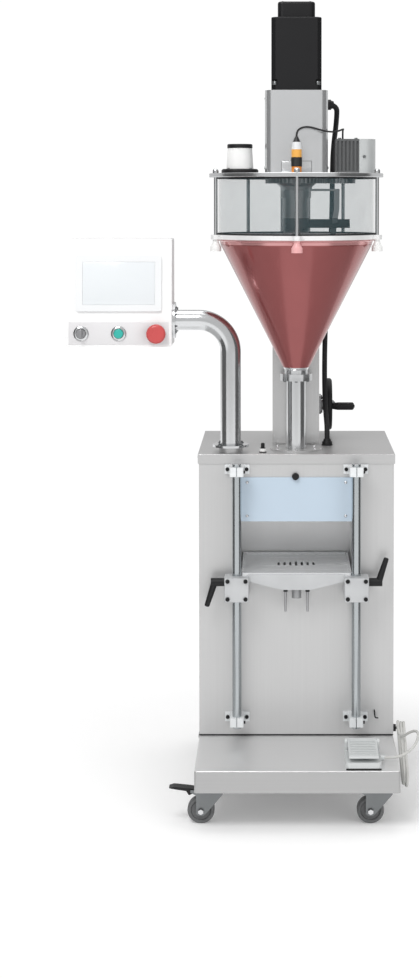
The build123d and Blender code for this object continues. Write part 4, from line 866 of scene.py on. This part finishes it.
class FILLER_OT_guard_trim(bpy.types.Operator):
    """Black plug over the guard and the screws at its corners."""

    bl_idname = "filler.guard_trim"
    bl_label = "Guard trim"

    def execute(self, context):
        plug = [(at(GUARD_PLUG[0], GUARD_FRONT_Y, GUARD_PLUG[1]), FRONT)]
        fit(lathe(GUARD_PLUG_OUTLINE, 28), plug, "guard_plug", "black", "root")
        places = [(at(side * GUARD_SCREW_X, GUARD_FRONT_Y, z), FRONT)
                  for side in LEFT_RIGHT for z in GUARD_SCREW_Z]
        fit(sheet_screw(), places, "guard_screws", "bright", "root")
        return {"FINISHED"}


# Cabinet's cover
COVER_FITTING = (-74, -52, 752)
FITTING_OUTLINE = [(0, 21), (3.2, 20.6), (4.2, 19.6), (4.2, 10.5), (6.4, 10), (6.6, 9.4),
                   (6.6, 1.2), (8.6, 1.0), (8.6, -0.5)]
COLLAR_OUTLINE = [(6.9, 2.0), (7.5, 2.4), (7.5, 8.4), (6.9, 8.8), (6.4, 8.8)]
COVER_RING_Z = 755
COVER_RING_RADIUS = 48


class FILLER_OT_cover_fittings(bpy.types.Operator):
    """Fitting with its collar and the screws of the auger tube's ring on the cabinet's cover."""

    bl_idname = "filler.cover_fittings"
    bl_label = "Cover fittings"

    def execute(self, context):
        place = [(at(*COVER_FITTING), UP)]
        fit(lathe(FITTING_OUTLINE), place, "cover_fitting", "black", "root")
        fit(lathe(COLLAR_OUTLINE), place, "cover_fitting_collar", "white", "root")
        ring = ring_places(at(0, 0, COVER_RING_Z), COVER_RING_RADIUS, count=6, axis=UP, start=30)
        fit(sheet_screw(), ring, "cover_ring_screws", "bright", "root")
        return {"FINISHED"}


# Control panel: its leaning face, the row of buttons, the arm's flanges and the box's rear sheet
SCREEN_LEAN = math.atan2(18.0, 177.0)
SCREEN_MIDDLE = (-87.9, 1126.65)
SCREEN_OUT = 0.0041
SCREEN_GLASS = (157, 93, 0.8, 0.35)
BUTTON_X = (-469, -387, -305)
BUTTON_Y = -96
BUTTON_Z = 1018
BUTTON_STRIP = (218, 49, 0.9, 0.4)
BUTTON_RING_OUTLINE = [(10.6, 4.6), (11.4, 5.6), (14.4, 5.2), (16.4, 3.4), (16.8, 1.6), (16.8, 0.6)]
ARM_FOOT = (-145, -43, 769.3)
ARM_FOOT_RADIUS = 32
ARM_HEAD = (-266, -43, 1044)
ARM_HEAD_RADIUS = 33
ARM_BOLT = (4.2, 3.0)
ARM_WASHER = 1.2
BOX_BACK_Y = 10
BOX_SCREW_X = (-492, -282)
BOX_SCREW_Z = (1000, 1106, 1213)


class FILLER_OT_panel_trim(bpy.types.Operator):
    """Screen glass, button strip, button rings and flange screws of the control box."""

    bl_idname = "filler.panel_trim"
    bl_label = "Control panel trim"

    def execute(self, context):
        settle(self.glass(), "display_glass", surface("display"), "panel")
        strip = [(at(BUTTON_X[1], BUTTON_Y, BUTTON_Z), FRONT)]
        fit(rounded_plate(*BUTTON_STRIP), strip, "button_strip", "strip", "panel")
        rings = [(at(x, BUTTON_Y, BUTTON_Z), FRONT) for x in BUTTON_X]
        fit(lathe(BUTTON_RING_OUTLINE, 36), rings, "button_rings", "bright", "panel")
        flange = ring_places(at(*ARM_FOOT), ARM_FOOT_RADIUS, count=4, axis=UP)
        flange += ring_places(at(*ARM_HEAD), ARM_HEAD_RADIUS, count=4, axis=RIGHT)
        fit(hex_bolt(*ARM_BOLT, ARM_WASHER), flange, "arm_bolts", "zinc", "panel")
        screws = [(at(x, BOX_BACK_Y, z), BACK) for x in BOX_SCREW_X for z in BOX_SCREW_Z]
        fit(sheet_screw(), screws, "box_back_screws", "zinc", "panel")
        return {"FINISHED"}

    def glass(self):
        """Glass of the display, on the leaning face of the screen."""
        low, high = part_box("touch_screen")
        out = Vector((0, -math.cos(SCREEN_LEAN), math.sin(SCREEN_LEAN)))
        up = Vector((0, math.sin(SCREEN_LEAN), math.cos(SCREEN_LEAN)))
        face = Matrix((Vector(RIGHT), up, out)).transposed().to_4x4()
        spot = at(0, *SCREEN_MIDDLE) + out * SCREEN_OUT
        spot.x = (low.x + high.x) / 2
        glass = rounded_plate(*SCREEN_GLASS)
        bmesh.ops.transform(glass, matrix=Matrix.Translation(spot) @ face, verts=glass.verts)
        return glass


def square_places(centre, spacing, axis):
    """Four places round a centre in millimetres, in the plane of an axis."""
    x, y, z = centre
    if axis == RIGHT:
        return [(at(x, y + sy * spacing, z + sz * spacing), axis)
                for sy in LEFT_RIGHT for sz in LEFT_RIGHT]
    return [(at(x + sx * spacing, y + sy * spacing, z), axis)
            for sx in LEFT_RIGHT for sy in LEFT_RIGHT]


# Drive: servo motor, encoder, housing, gear motor, feed neck and auger tube.
# A bolt or screw is the radius and height of its head
SERVO_FLANGE = (0, 0, 1560)
SERVO_BOLT_SPACING = 47
SERVO_BOLT = (5.2, 8.0)
ENCODER_TOP = (0, 0, 1742.6)
ENCODER_SCREW_SPACING = 30
ENCODER_SCREW_HEIGHT = 1.6
HOUSING_X = 69
HOUSING_SCREW_ROWS = ((1379, (-30, 66, 162, 250)), (1536, (66, 162, 250)))
NOTCH = (0, -69, 1380.7)
NOTCH_SEAL = (67, 26, 0.4, 0.15)
NOTCH_PLATE = (65.4, 24.4, 1.0, 0.3)
GEAR_MOTOR_TOP_Z = 1443
GEAR_MOTOR_SCREW_X = (96, 132)
GEAR_MOTOR_SCREW_Y = (-16, 56)
GEAR_MOTOR_FRONT_SCREW = (150, -24, 1404)
GEAR_MOTOR_SCREW_HEIGHT = 2.6
NECK_FLANGE = (-125, 0, 1376.5)
NECK_FLANGE_RADIUS = 34.5
NECK_SCREW = (2.6, 2.4)
TUBE_FLANGE = (0, 0, 907)
TUBE_FLANGE_RADIUS = 29.5
TUBE_BOLT = (3.4, 3.0)


class FILLER_OT_drive_fasteners(bpy.types.Operator):
    """Fasteners of the drive and the feed neck, and the plate at the housing's foot."""

    bl_idname = "filler.drive_fasteners"
    bl_label = "Drive fasteners"

    def execute(self, context):
        small = mm(sizes().sheet_screw)
        bolts = square_places(SERVO_FLANGE, SERVO_BOLT_SPACING, UP)
        fit(socket_screw(*SERVO_BOLT), bolts, "servo_bolts", "zinc", "head")
        caps = square_places(ENCODER_TOP, ENCODER_SCREW_SPACING, UP)
        fit(dome_screw(small, ENCODER_SCREW_HEIGHT), caps, "encoder_screws", "black", "head")
        sides = [(at(side * HOUSING_X, y, z), (side, 0, 0))
                 for z, row in HOUSING_SCREW_ROWS for side in LEFT_RIGHT for y in row]
        fit(sheet_screw(), sides, "housing_screws", "bright", "head")
        notch = [(at(*NOTCH), FRONT)]
        fit(rounded_plate(*NOTCH_SEAL), notch, "notch_seal", "rubber", "head")
        fit(rounded_plate(*NOTCH_PLATE), notch, "notch_plate", "housing", "head")
        tops = [(at(x, y, GEAR_MOTOR_TOP_Z), UP)
                for x in GEAR_MOTOR_SCREW_X for y in GEAR_MOTOR_SCREW_Y]
        tops.append((at(*GEAR_MOTOR_FRONT_SCREW), FRONT))
        fit(socket_screw(small, GEAR_MOTOR_SCREW_HEIGHT), tops, "gear_motor_screws", "zinc", "head")
        neck = ring_places(at(*NECK_FLANGE), NECK_FLANGE_RADIUS, count=4, axis=UP)
        fit(socket_screw(*NECK_SCREW), neck, "neck_screws", "zinc", "head")
        under = ring_places(at(*TUBE_FLANGE), TUBE_FLANGE_RADIUS, count=6, axis=DOWN, start=0)
        fit(hex_bolt(*TUBE_BOLT), under, "tube_bolts", "zinc", "head")
        return {"FINISHED"}


# Handwheel's hub and its bearing on the column
HUB_END = (86.5, 240, 826)
HUB_NUT_OUTLINE = [(0, 9), (3.0, 8.6), (5.4, 7.0), (6.4, 5.0), (6.6, 4.6), (8.4, 4.4), (8.8, 3.8),
                   (8.8, -0.5)]
BEARING_FACE = (61, 240, 826)
BEARING_BOLT_SPACING = 16
BEARING_BOLT = (3.6, 3.0)


class FILLER_OT_handwheel_trim(bpy.types.Operator):
    """Domed nut on the handwheel's hub and the bolts of its bearing."""

    bl_idname = "filler.handwheel_trim"
    bl_label = "Handwheel trim"

    def execute(self, context):
        fit(lathe(HUB_NUT_OUTLINE), [(at(*HUB_END), RIGHT)], "hub_nut", "zinc", "handwheel")
        bolts = square_places(BEARING_FACE, BEARING_BOLT_SPACING, RIGHT)
        fit(hex_bolt(*BEARING_BOLT), bolts, "bearing_bolts", "zinc", "root")
        return {"FINISHED"}


# Foot pedal: the tread's slope, where its ribs start and how far they run back and up
PEDAL_X = 138
TREAD_SLOPE = math.atan2(8.0, 101.0)
TREAD_START = (-324, 157)
TREAD_RUN = (92, 7.29)
TREAD_RIB = (54, 4.2, 1.8, 0.7)
PEDAL_RIM_PLACE = (-325.4, 128.2)
PEDAL_RIM = (74, 2.0, 3.2, 0.9)


class FILLER_OT_pedal_tread(bpy.types.Operator):
    """Ribs on the foot pedal and the dark rim under its case."""

    bl_idname = "filler.pedal_tread"
    bl_label = "Pedal tread"

    def execute(self, context):
        out = Vector((0, -math.sin(TREAD_SLOPE), math.cos(TREAD_SLOPE)))
        count = sizes().tread_ribs
        places = []
        for index in range(count):
            share = (index + 1) / (count + 1)
            y, z = (start + share * run for start, run in zip(TREAD_START, TREAD_RUN))
            places.append((at(PEDAL_X, y, z), out))
        fit(rounded_plate(*TREAD_RIB), places, "pedal_ribs", "pedal", "pedal")
        rim = [(at(PEDAL_X, *PEDAL_RIM_PLACE), UP)]
        fit(rounded_plate(*PEDAL_RIM), rim, "pedal_front_rim", "rubber", "root")
        return {"FINISHED"}


# Casters: their plates' bolts, and the axle's ends behind the swivel
CASTER_X = 178
CASTER_Y = {"front": -271, "rear": 253}
CASTER_PLATE_Z = 78
CASTER_BOLT_SPACING = 26
CASTER_BOLT = (4.4, 3.0)
AXLE_TRAIL = 24
AXLE_HALF = 18.5
AXLE_Z = 28.5
AXLE_NUT = (6.4, 3.4)


class FILLER_OT_caster_fasteners(bpy.types.Operator):
    """Plate bolts and axle nuts of the casters."""

    bl_idname = "filler.caster_fasteners"
    bl_label = "Caster fasteners"

    def execute(self, context):
        bolts = []
        for corner in CORNERS:
            end, side = corner.split("_")
            x, y = CASTER_X if side == "right" else -CASTER_X, CASTER_Y[end]
            bolts += square_places((x, y, CASTER_PLATE_Z), CASTER_BOLT_SPACING, DOWN)
            axle = [(at(x - AXLE_TRAIL, y - AXLE_HALF, AXLE_Z), FRONT),
                    (at(x - AXLE_TRAIL, y + AXLE_HALF, AXLE_Z), BACK)]
            fit(hex_bolt(*AXLE_NUT), axle, "axle_nuts_" + corner, "bright", "fork_" + corner)
        fit(hex_bolt(*CASTER_BOLT), bolts, "caster_plate_bolts", "zinc", "root")
        return {"FINISHED"}


# Cabinet: screws of its rear sheet and cover, and a hook's bend with heights from its foot
REAR_Y = 315
REAR_SCREW_X = 200
REAR_SCREW_Z = (150, 340, 530, 712)
COVER_SIDE_X = 216.5
COVER_SCREW_Y = (-50, 118, 285)
COVER_SCREW_Z = 741
SEAL_OUT = 0.0004
SEAL_SECTION = (2.4, 2.6, 0.8)
HOOK_BEND = [(172, -79.5, 56), (172, -89, 57), (172, -92, 48), (174, -93, 42), (180, -94, 43)]
HOOK_RADIUS = 1.5


class FILLER_OT_cabinet_screws(bpy.types.Operator):
    """Screws of the cabinet's rear sheet and cover, its foot's seal and a hook over the pedal."""

    bl_idname = "filler.cabinet_screws"
    bl_label = "Cabinet screws"

    def execute(self, context):
        places = [(at(side * REAR_SCREW_X, REAR_Y, z), BACK)
                  for side in LEFT_RIGHT for z in REAR_SCREW_Z]
        places += [(at(side * COVER_SIDE_X, y, COVER_SCREW_Z), (side, 0, 0))
                   for side in LEFT_RIGHT for y in COVER_SCREW_Y]
        fit(sheet_screw(), places, "cabinet_screws", "bright", "root")
        low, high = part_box("cabinet_shell")
        spot = Vector(((low.x + high.x) / 2, low.y - SEAL_OUT, low.z))
        seal = rounded_plate(mm(high.x - low.x), *SEAL_SECTION)
        fit(seal, [(spot, UP)], "cabinet_seal", "rubber", "root")
        bend = [(x, y, mm(low.z) + z) for x, y, z in HOOK_BEND]
        hook = as_mesh(smooth_line("pedal_hook", bend, HOOK_RADIUS), surface("black"))
        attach(hook, "root")
        return {"FINISHED"}


# Leads of the head, as control points in millimetres off the auger's axis and the floor
HEAD_CABLE = [(69, 20, 1520), (91, 20, 1520), (91, 46, 1490), (89, 84, 1462), (87, 122, 1438),
              (86, 164, 1410), (86, 200, 1370), (86, 214, 1318), (85, 218, 1262), (83, 212, 1204),
              (79, 196, 1150), (74, 174, 1098), (70, 158, 1042), (68, 152, 986), (67, 149, 930),
              (67, 140, 876), (68, 118, 834), (70, 86, 806), (71, 64, 790), (71, 64, 752)]
HEAD_CABLE_RADIUS = 6.0
SENSOR_LEAD = [(0, -92, 1446), (0, -92, 1458), (12, -94, 1466), (27, -95, 1467), (45, -95, 1462),
               (63, -92, 1457), (80, -82, 1456), (93, -66, 1459), (101, -48, 1463),
               (104, -30, 1464), (103, -14, 1463), (103, -2, 1457), (103, -2, 1443)]
SENSOR_LEAD_RADIUS = 2.0
GLAND_OUTLINE = [(6.2, 15), (7.6, 14.6), (8.6, 12), (9.4, 9), (11.2, 8.6), (11.6, 8), (11.6, 1.6),
                 (13, 1.4), (13, -0.5)]
CABLE_STILL = (70, 150, 900)
CABLE_LIFTED = (70, 150, 1400)


class FILLER_OT_leads(bpy.types.Operator):
    """Conduit from the head to the cabinet with its glands, and the level probe's lead."""

    bl_idname = "filler.leads"
    bl_label = "Head conduit and probe lead"

    def execute(self, context):
        line = smooth_line("head_conduit", HEAD_CABLE, HEAD_CABLE_RADIUS)
        conduit = as_mesh(line, surface("rubber"))
        at(*CABLE_STILL)
        at(*CABLE_LIFTED)
        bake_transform(conduit)
        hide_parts("head_cable")
        line = smooth_line("probe_lead", SENSOR_LEAD, SENSOR_LEAD_RADIUS)
        lead = as_mesh(line, surface("rubber"))
        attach(lead, "head")
        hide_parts("sensor_lead")
        fit(lathe(GLAND_OUTLINE), [(at(*HEAD_CABLE[0]), RIGHT)], "conduit_gland_head", "black",
            "head")
        fit(lathe(GLAND_OUTLINE), [(at(*HEAD_CABLE[-1]), UP)], "conduit_gland_cover", "black",
            "root")
        return {"FINISHED"}


# Pedal's cord: its way out of the cabinet, its hank's loops and its arch to the pedal
CORD_EXIT = (220, -70, 142)
CORD_GLAND_END = (231, -70, 142)
CORD_DIAMETER = 0.006
HANK_MIDDLE = (-160.0, 112.0)
HANK_SLOPE = math.radians(26.0)
HANK_LOOP = [(-68.8, 15), (-81.2, 15), (-90, 6.2), (-90, -6.2), (-81.2, -15), (-68.8, -15),
             (68.8, -15), (81.2, -15), (90, -6.2), (90, 6.2), (81.2, 15), (68.8, 15)]
HANK_X = 235.0
HANK_TURNS = 2
HANK_PITCH = 6.4
HANK_STEP = HANK_PITCH / len(HANK_LOOP)
HANK_SWAY = 3.0
HANK_START = [(236, 94, -4), (236, 90, 6.2), (236, 81.2, 15), (235.5, 68.8, 15)]
HANK_END = [(223.4, 46, 17), (225.5, 27, 26), (232, 10, 41)]
ARCH = [(243, -184, 166), (254, -203, 175), (259, -222, 175), (255, -242, 164), (242, -257, 151),
        (222, -267, 141), (202, -270, 137), (183, -270, 137)]


def on_hank(x, along, over):
    """A point of the hank from its place along and over the hank's slope."""
    c, s = math.cos(HANK_SLOPE), math.sin(HANK_SLOPE)
    return (x, HANK_MIDDLE[0] + along * c - over * s, HANK_MIDDLE[1] + along * s + over * c)


def cord_route():
    """Control points of the cord from the cabinet's gland to the pedal."""
    route = [CORD_EXIT, CORD_GLAND_END] + [on_hank(*place) for place in HANK_START]
    x = HANK_X
    for turn in range(HANK_TURNS):
        sway = HANK_SWAY * turn
        for along, over in HANK_LOOP:
            reach = along + (sway if along > 0 else 2 * sway)
            route.append(on_hank(x, reach, over))
            x -= HANK_STEP
    return route + [on_hank(*place) for place in HANK_END] + ARCH


class FILLER_OT_pedal_cord(bpy.types.Operator):
    """Cord from the cabinet's gland through its folded hank and in an arch to the foot pedal."""

    bl_idname = "filler.pedal_cord"
    bl_label = "Pedal cord"

    def execute(self, context):
        radius = mm(CORD_DIAMETER) / 2
        cord = smooth_line("pedal_cord_line", cord_route(), radius, resolution=8)
        cord.data.materials.append(surface("cord"))
        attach(cord, "root")
        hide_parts("cord_hank", "pedal_cord")
        at(*CORD_EXIT)
        return {"FINISHED"}


# Stage: floor, lights as (size in metres, place, target), cards, backdrop and camera
FLOOR_HALF = 6.0
FLOOR_FADE = (0.42, 1.05)
KEY_LIGHT = (1.5, (-1200, -2500, 3500), (0, 0, 900))
FILL_LIGHT = (2.2, (2300, -3000, 1900), (0, 0, 800))
TOP_LIGHT = (2.0, (0, 300, 3400), (0, 0, 900))
SIDE_CARD = (1700, -300, 1100)
SIDE_CARD_HALF = (0.95, 1.5)
SIDE_CARD_TURN = 0.18
FLOOR_CARD = (1250, 0, 6)
FLOOR_CARD_HALF = (0.72, 1.1)
BACKDROP_LEVEL = 1.03
SENSOR_HEIGHT = 24.0
FOCAL_PIXELS = 1816.5
PICTURE_PIXELS = 978
LENS_SHIFT = (-0.0721, -0.2143)


class FILLER_OT_stage(bpy.types.Operator):
    """Pale floor, soft studio lights and the camera."""

    bl_idname = "filler.stage"
    bl_label = "Stage"

    def execute(self, context):
        stage = context.scene.filler_stage
        bm = bmesh.new()
        bmesh.ops.create_grid(bm, x_segments=8, y_segments=8, size=FLOOR_HALF)
        self.set_apart(settle(bm, "floor", self.floor_finish(), "root"))
        self.light("key_light", stage.key, *KEY_LIGHT)
        self.light("fill_light", stage.fill, *FILL_LIGHT).visible_glossy = False
        self.light("top_light", stage.top, *TOP_LIGHT)
        for side, name in zip(LEFT_RIGHT, ("left", "right")):
            inwards = (-side, SIDE_CARD_TURN, 0)
            self.card(name + "_flag", side, SIDE_CARD, inwards, SIDE_CARD_HALF, "card")
            self.card(name + "_floor_flag", side, FLOOR_CARD, UP, FLOOR_CARD_HALF, "grey_card")
        self.surround(context.scene, stage.sky)
        context.scene.view_settings.view_transform = "Standard"
        context.scene.view_settings.look = "None"
        self.camera(context.scene, stage)
        return {"FINISHED"}

    def set_apart(self, piece):
        """Marks a piece as the stage's, not the machine's."""
        piece.parent = None

    def floor_finish(self):
        """Pale near the machine, where it takes a shadow, and even white further off."""
        made = Finish("pale_floor", emission_strength=1.0)
        grain = made.noise(60.0)
        reach = made.node("ShaderNodeVectorMath", {"operation": "LENGTH"}, {0: made.place()}, 1)
        far = reach.fade(*FLOOR_FADE)
        near = made.blend(grain, rgba(grey(0.90)), rgba(grey(0.94)))
        glow = made.blend(far, rgba(grey(0.12)), rgba(grey(1.04)))
        made.set("Base Color", made.blend(far, near, BLACK))
        made.set("Emission Color", glow)
        made.set("Specular IOR Level", 0.0)
        made.set("Roughness", 0.6 + 0.1 * grain)
        return made.material

    def light(self, name, power, size, place, target):
        """A square light that faces a target."""
        data = bpy.data.lights.new(name, "AREA")
        data.energy = power
        data.size = size
        lamp = add_piece(name, data)
        lamp.location = at(*place)
        lamp.rotation_euler = (at(*target) - at(*place)).to_track_quat("-Z", "Y").to_euler()
        return lamp

    def card(self, name, side, place, facing, half, key):
        """Card beside the machine or on the floor that only bright parts mirror."""
        x, y, z = place
        bm = bmesh.new()
        bmesh.ops.create_grid(bm, x_segments=1, y_segments=1, size=1.0)
        bmesh.ops.scale(bm, vec=(*half, 1.0), verts=bm.verts)
        turn = Vector(facing).to_track_quat("Z", "Y").to_matrix().to_4x4()
        move = Matrix.Translation(at(side * x, y, z)) @ turn
        bmesh.ops.transform(bm, matrix=move, verts=bm.verts)
        card = settle(bm, name, surface(key), "root")
        card.visible_camera = False
        card.visible_shadow = False
        card.visible_diffuse = False
        self.set_apart(card)

    def surround(self, scene, level):
        """White world that lights the machine less than it shows behind it."""
        world = bpy.data.worlds.new("white_surround")
        scene.world = world
        world.use_nodes = True
        tree = world.node_tree
        background = tree.nodes["Background"]
        background.inputs["Color"].default_value = rgba(grey(1.0))
        path = tree.nodes.new("ShaderNodeLightPath")
        strength = tree.nodes.new("ShaderNodeMapRange")
        strength.inputs["To Min"].default_value = level
        strength.inputs["To Max"].default_value = BACKDROP_LEVEL
        tree.links.new(path.outputs["Is Camera Ray"], strength.inputs["Value"])
        tree.links.new(strength.outputs[0], background.inputs["Strength"])

    def camera(self, scene, stage):
        """The camera, at the photograph's angle."""
        data = bpy.data.cameras.new("camera")
        data.sensor_fit = "VERTICAL"
        data.sensor_height = SENSOR_HEIGHT
        data.lens = SENSOR_HEIGHT * FOCAL_PIXELS / PICTURE_PIXELS
        data.shift_x, data.shift_y = LENS_SHIFT
        camera = add_piece("camera", data)
        camera.location = (AXIS_X + stage.side, AXIS_Y - stage.distance, stage.eye)
        camera.rotation_euler = (math.radians(90) - stage.tilt, 0, 0)
        scene.camera = camera


PIECES = (
    FILLER_OT_finish_parts, FILLER_OT_pedal_cord, FILLER_OT_leads, FILLER_OT_bracket_screws,
    FILLER_OT_block_plates, FILLER_OT_tray_fittings, FILLER_OT_guard_trim,
    FILLER_OT_cover_fittings, FILLER_OT_panel_trim, FILLER_OT_drive_fasteners,
    FILLER_OT_handwheel_trim, FILLER_OT_pedal_tread, FILLER_OT_caster_fasteners,
    FILLER_OT_cabinet_screws, FILLER_OT_stage,
)


class FILLER_PT_sidebar(bpy.types.Panel):
    """The filler's pieces and sizes in the sidebar."""

    bl_idname = "FILLER_PT_sidebar"
    bl_label = "Auger powder filler"
    bl_space_type = "VIEW_3D"
    bl_region_type = "UI"
    bl_category = "Filler"

    def draw(self, context):
        scene = context.scene
        for piece in PIECES:
            self.layout.operator(piece.bl_idname)
        for group in (scene.filler_finishes, scene.filler_fittings, scene.filler_stage):
            box = self.layout.box()
            for name in group.__annotations__:
                box.prop(group, name)


CLASSES = (FillerFinishes, FillerFittings, FillerStage, *PIECES, FILLER_PT_sidebar)


def register():
    for kind in CLASSES:
        bpy.utils.register_class(kind)
    bpy.types.Scene.filler_finishes = PointerProperty(type=FillerFinishes)
    bpy.types.Scene.filler_fittings = PointerProperty(type=FillerFittings)
    bpy.types.Scene.filler_stage = PointerProperty(type=FillerStage)


def unregister():
    del bpy.types.Scene.filler_stage
    del bpy.types.Scene.filler_fittings
    del bpy.types.Scene.filler_finishes
    for kind in reversed(CLASSES):
        bpy.utils.unregister_class(kind)


def main():
    register()
    for piece in PIECES:
        area, name = piece.bl_idname.split(".")
        getattr(getattr(bpy.ops, area), name)()


if __name__ == "__main__":
    main()
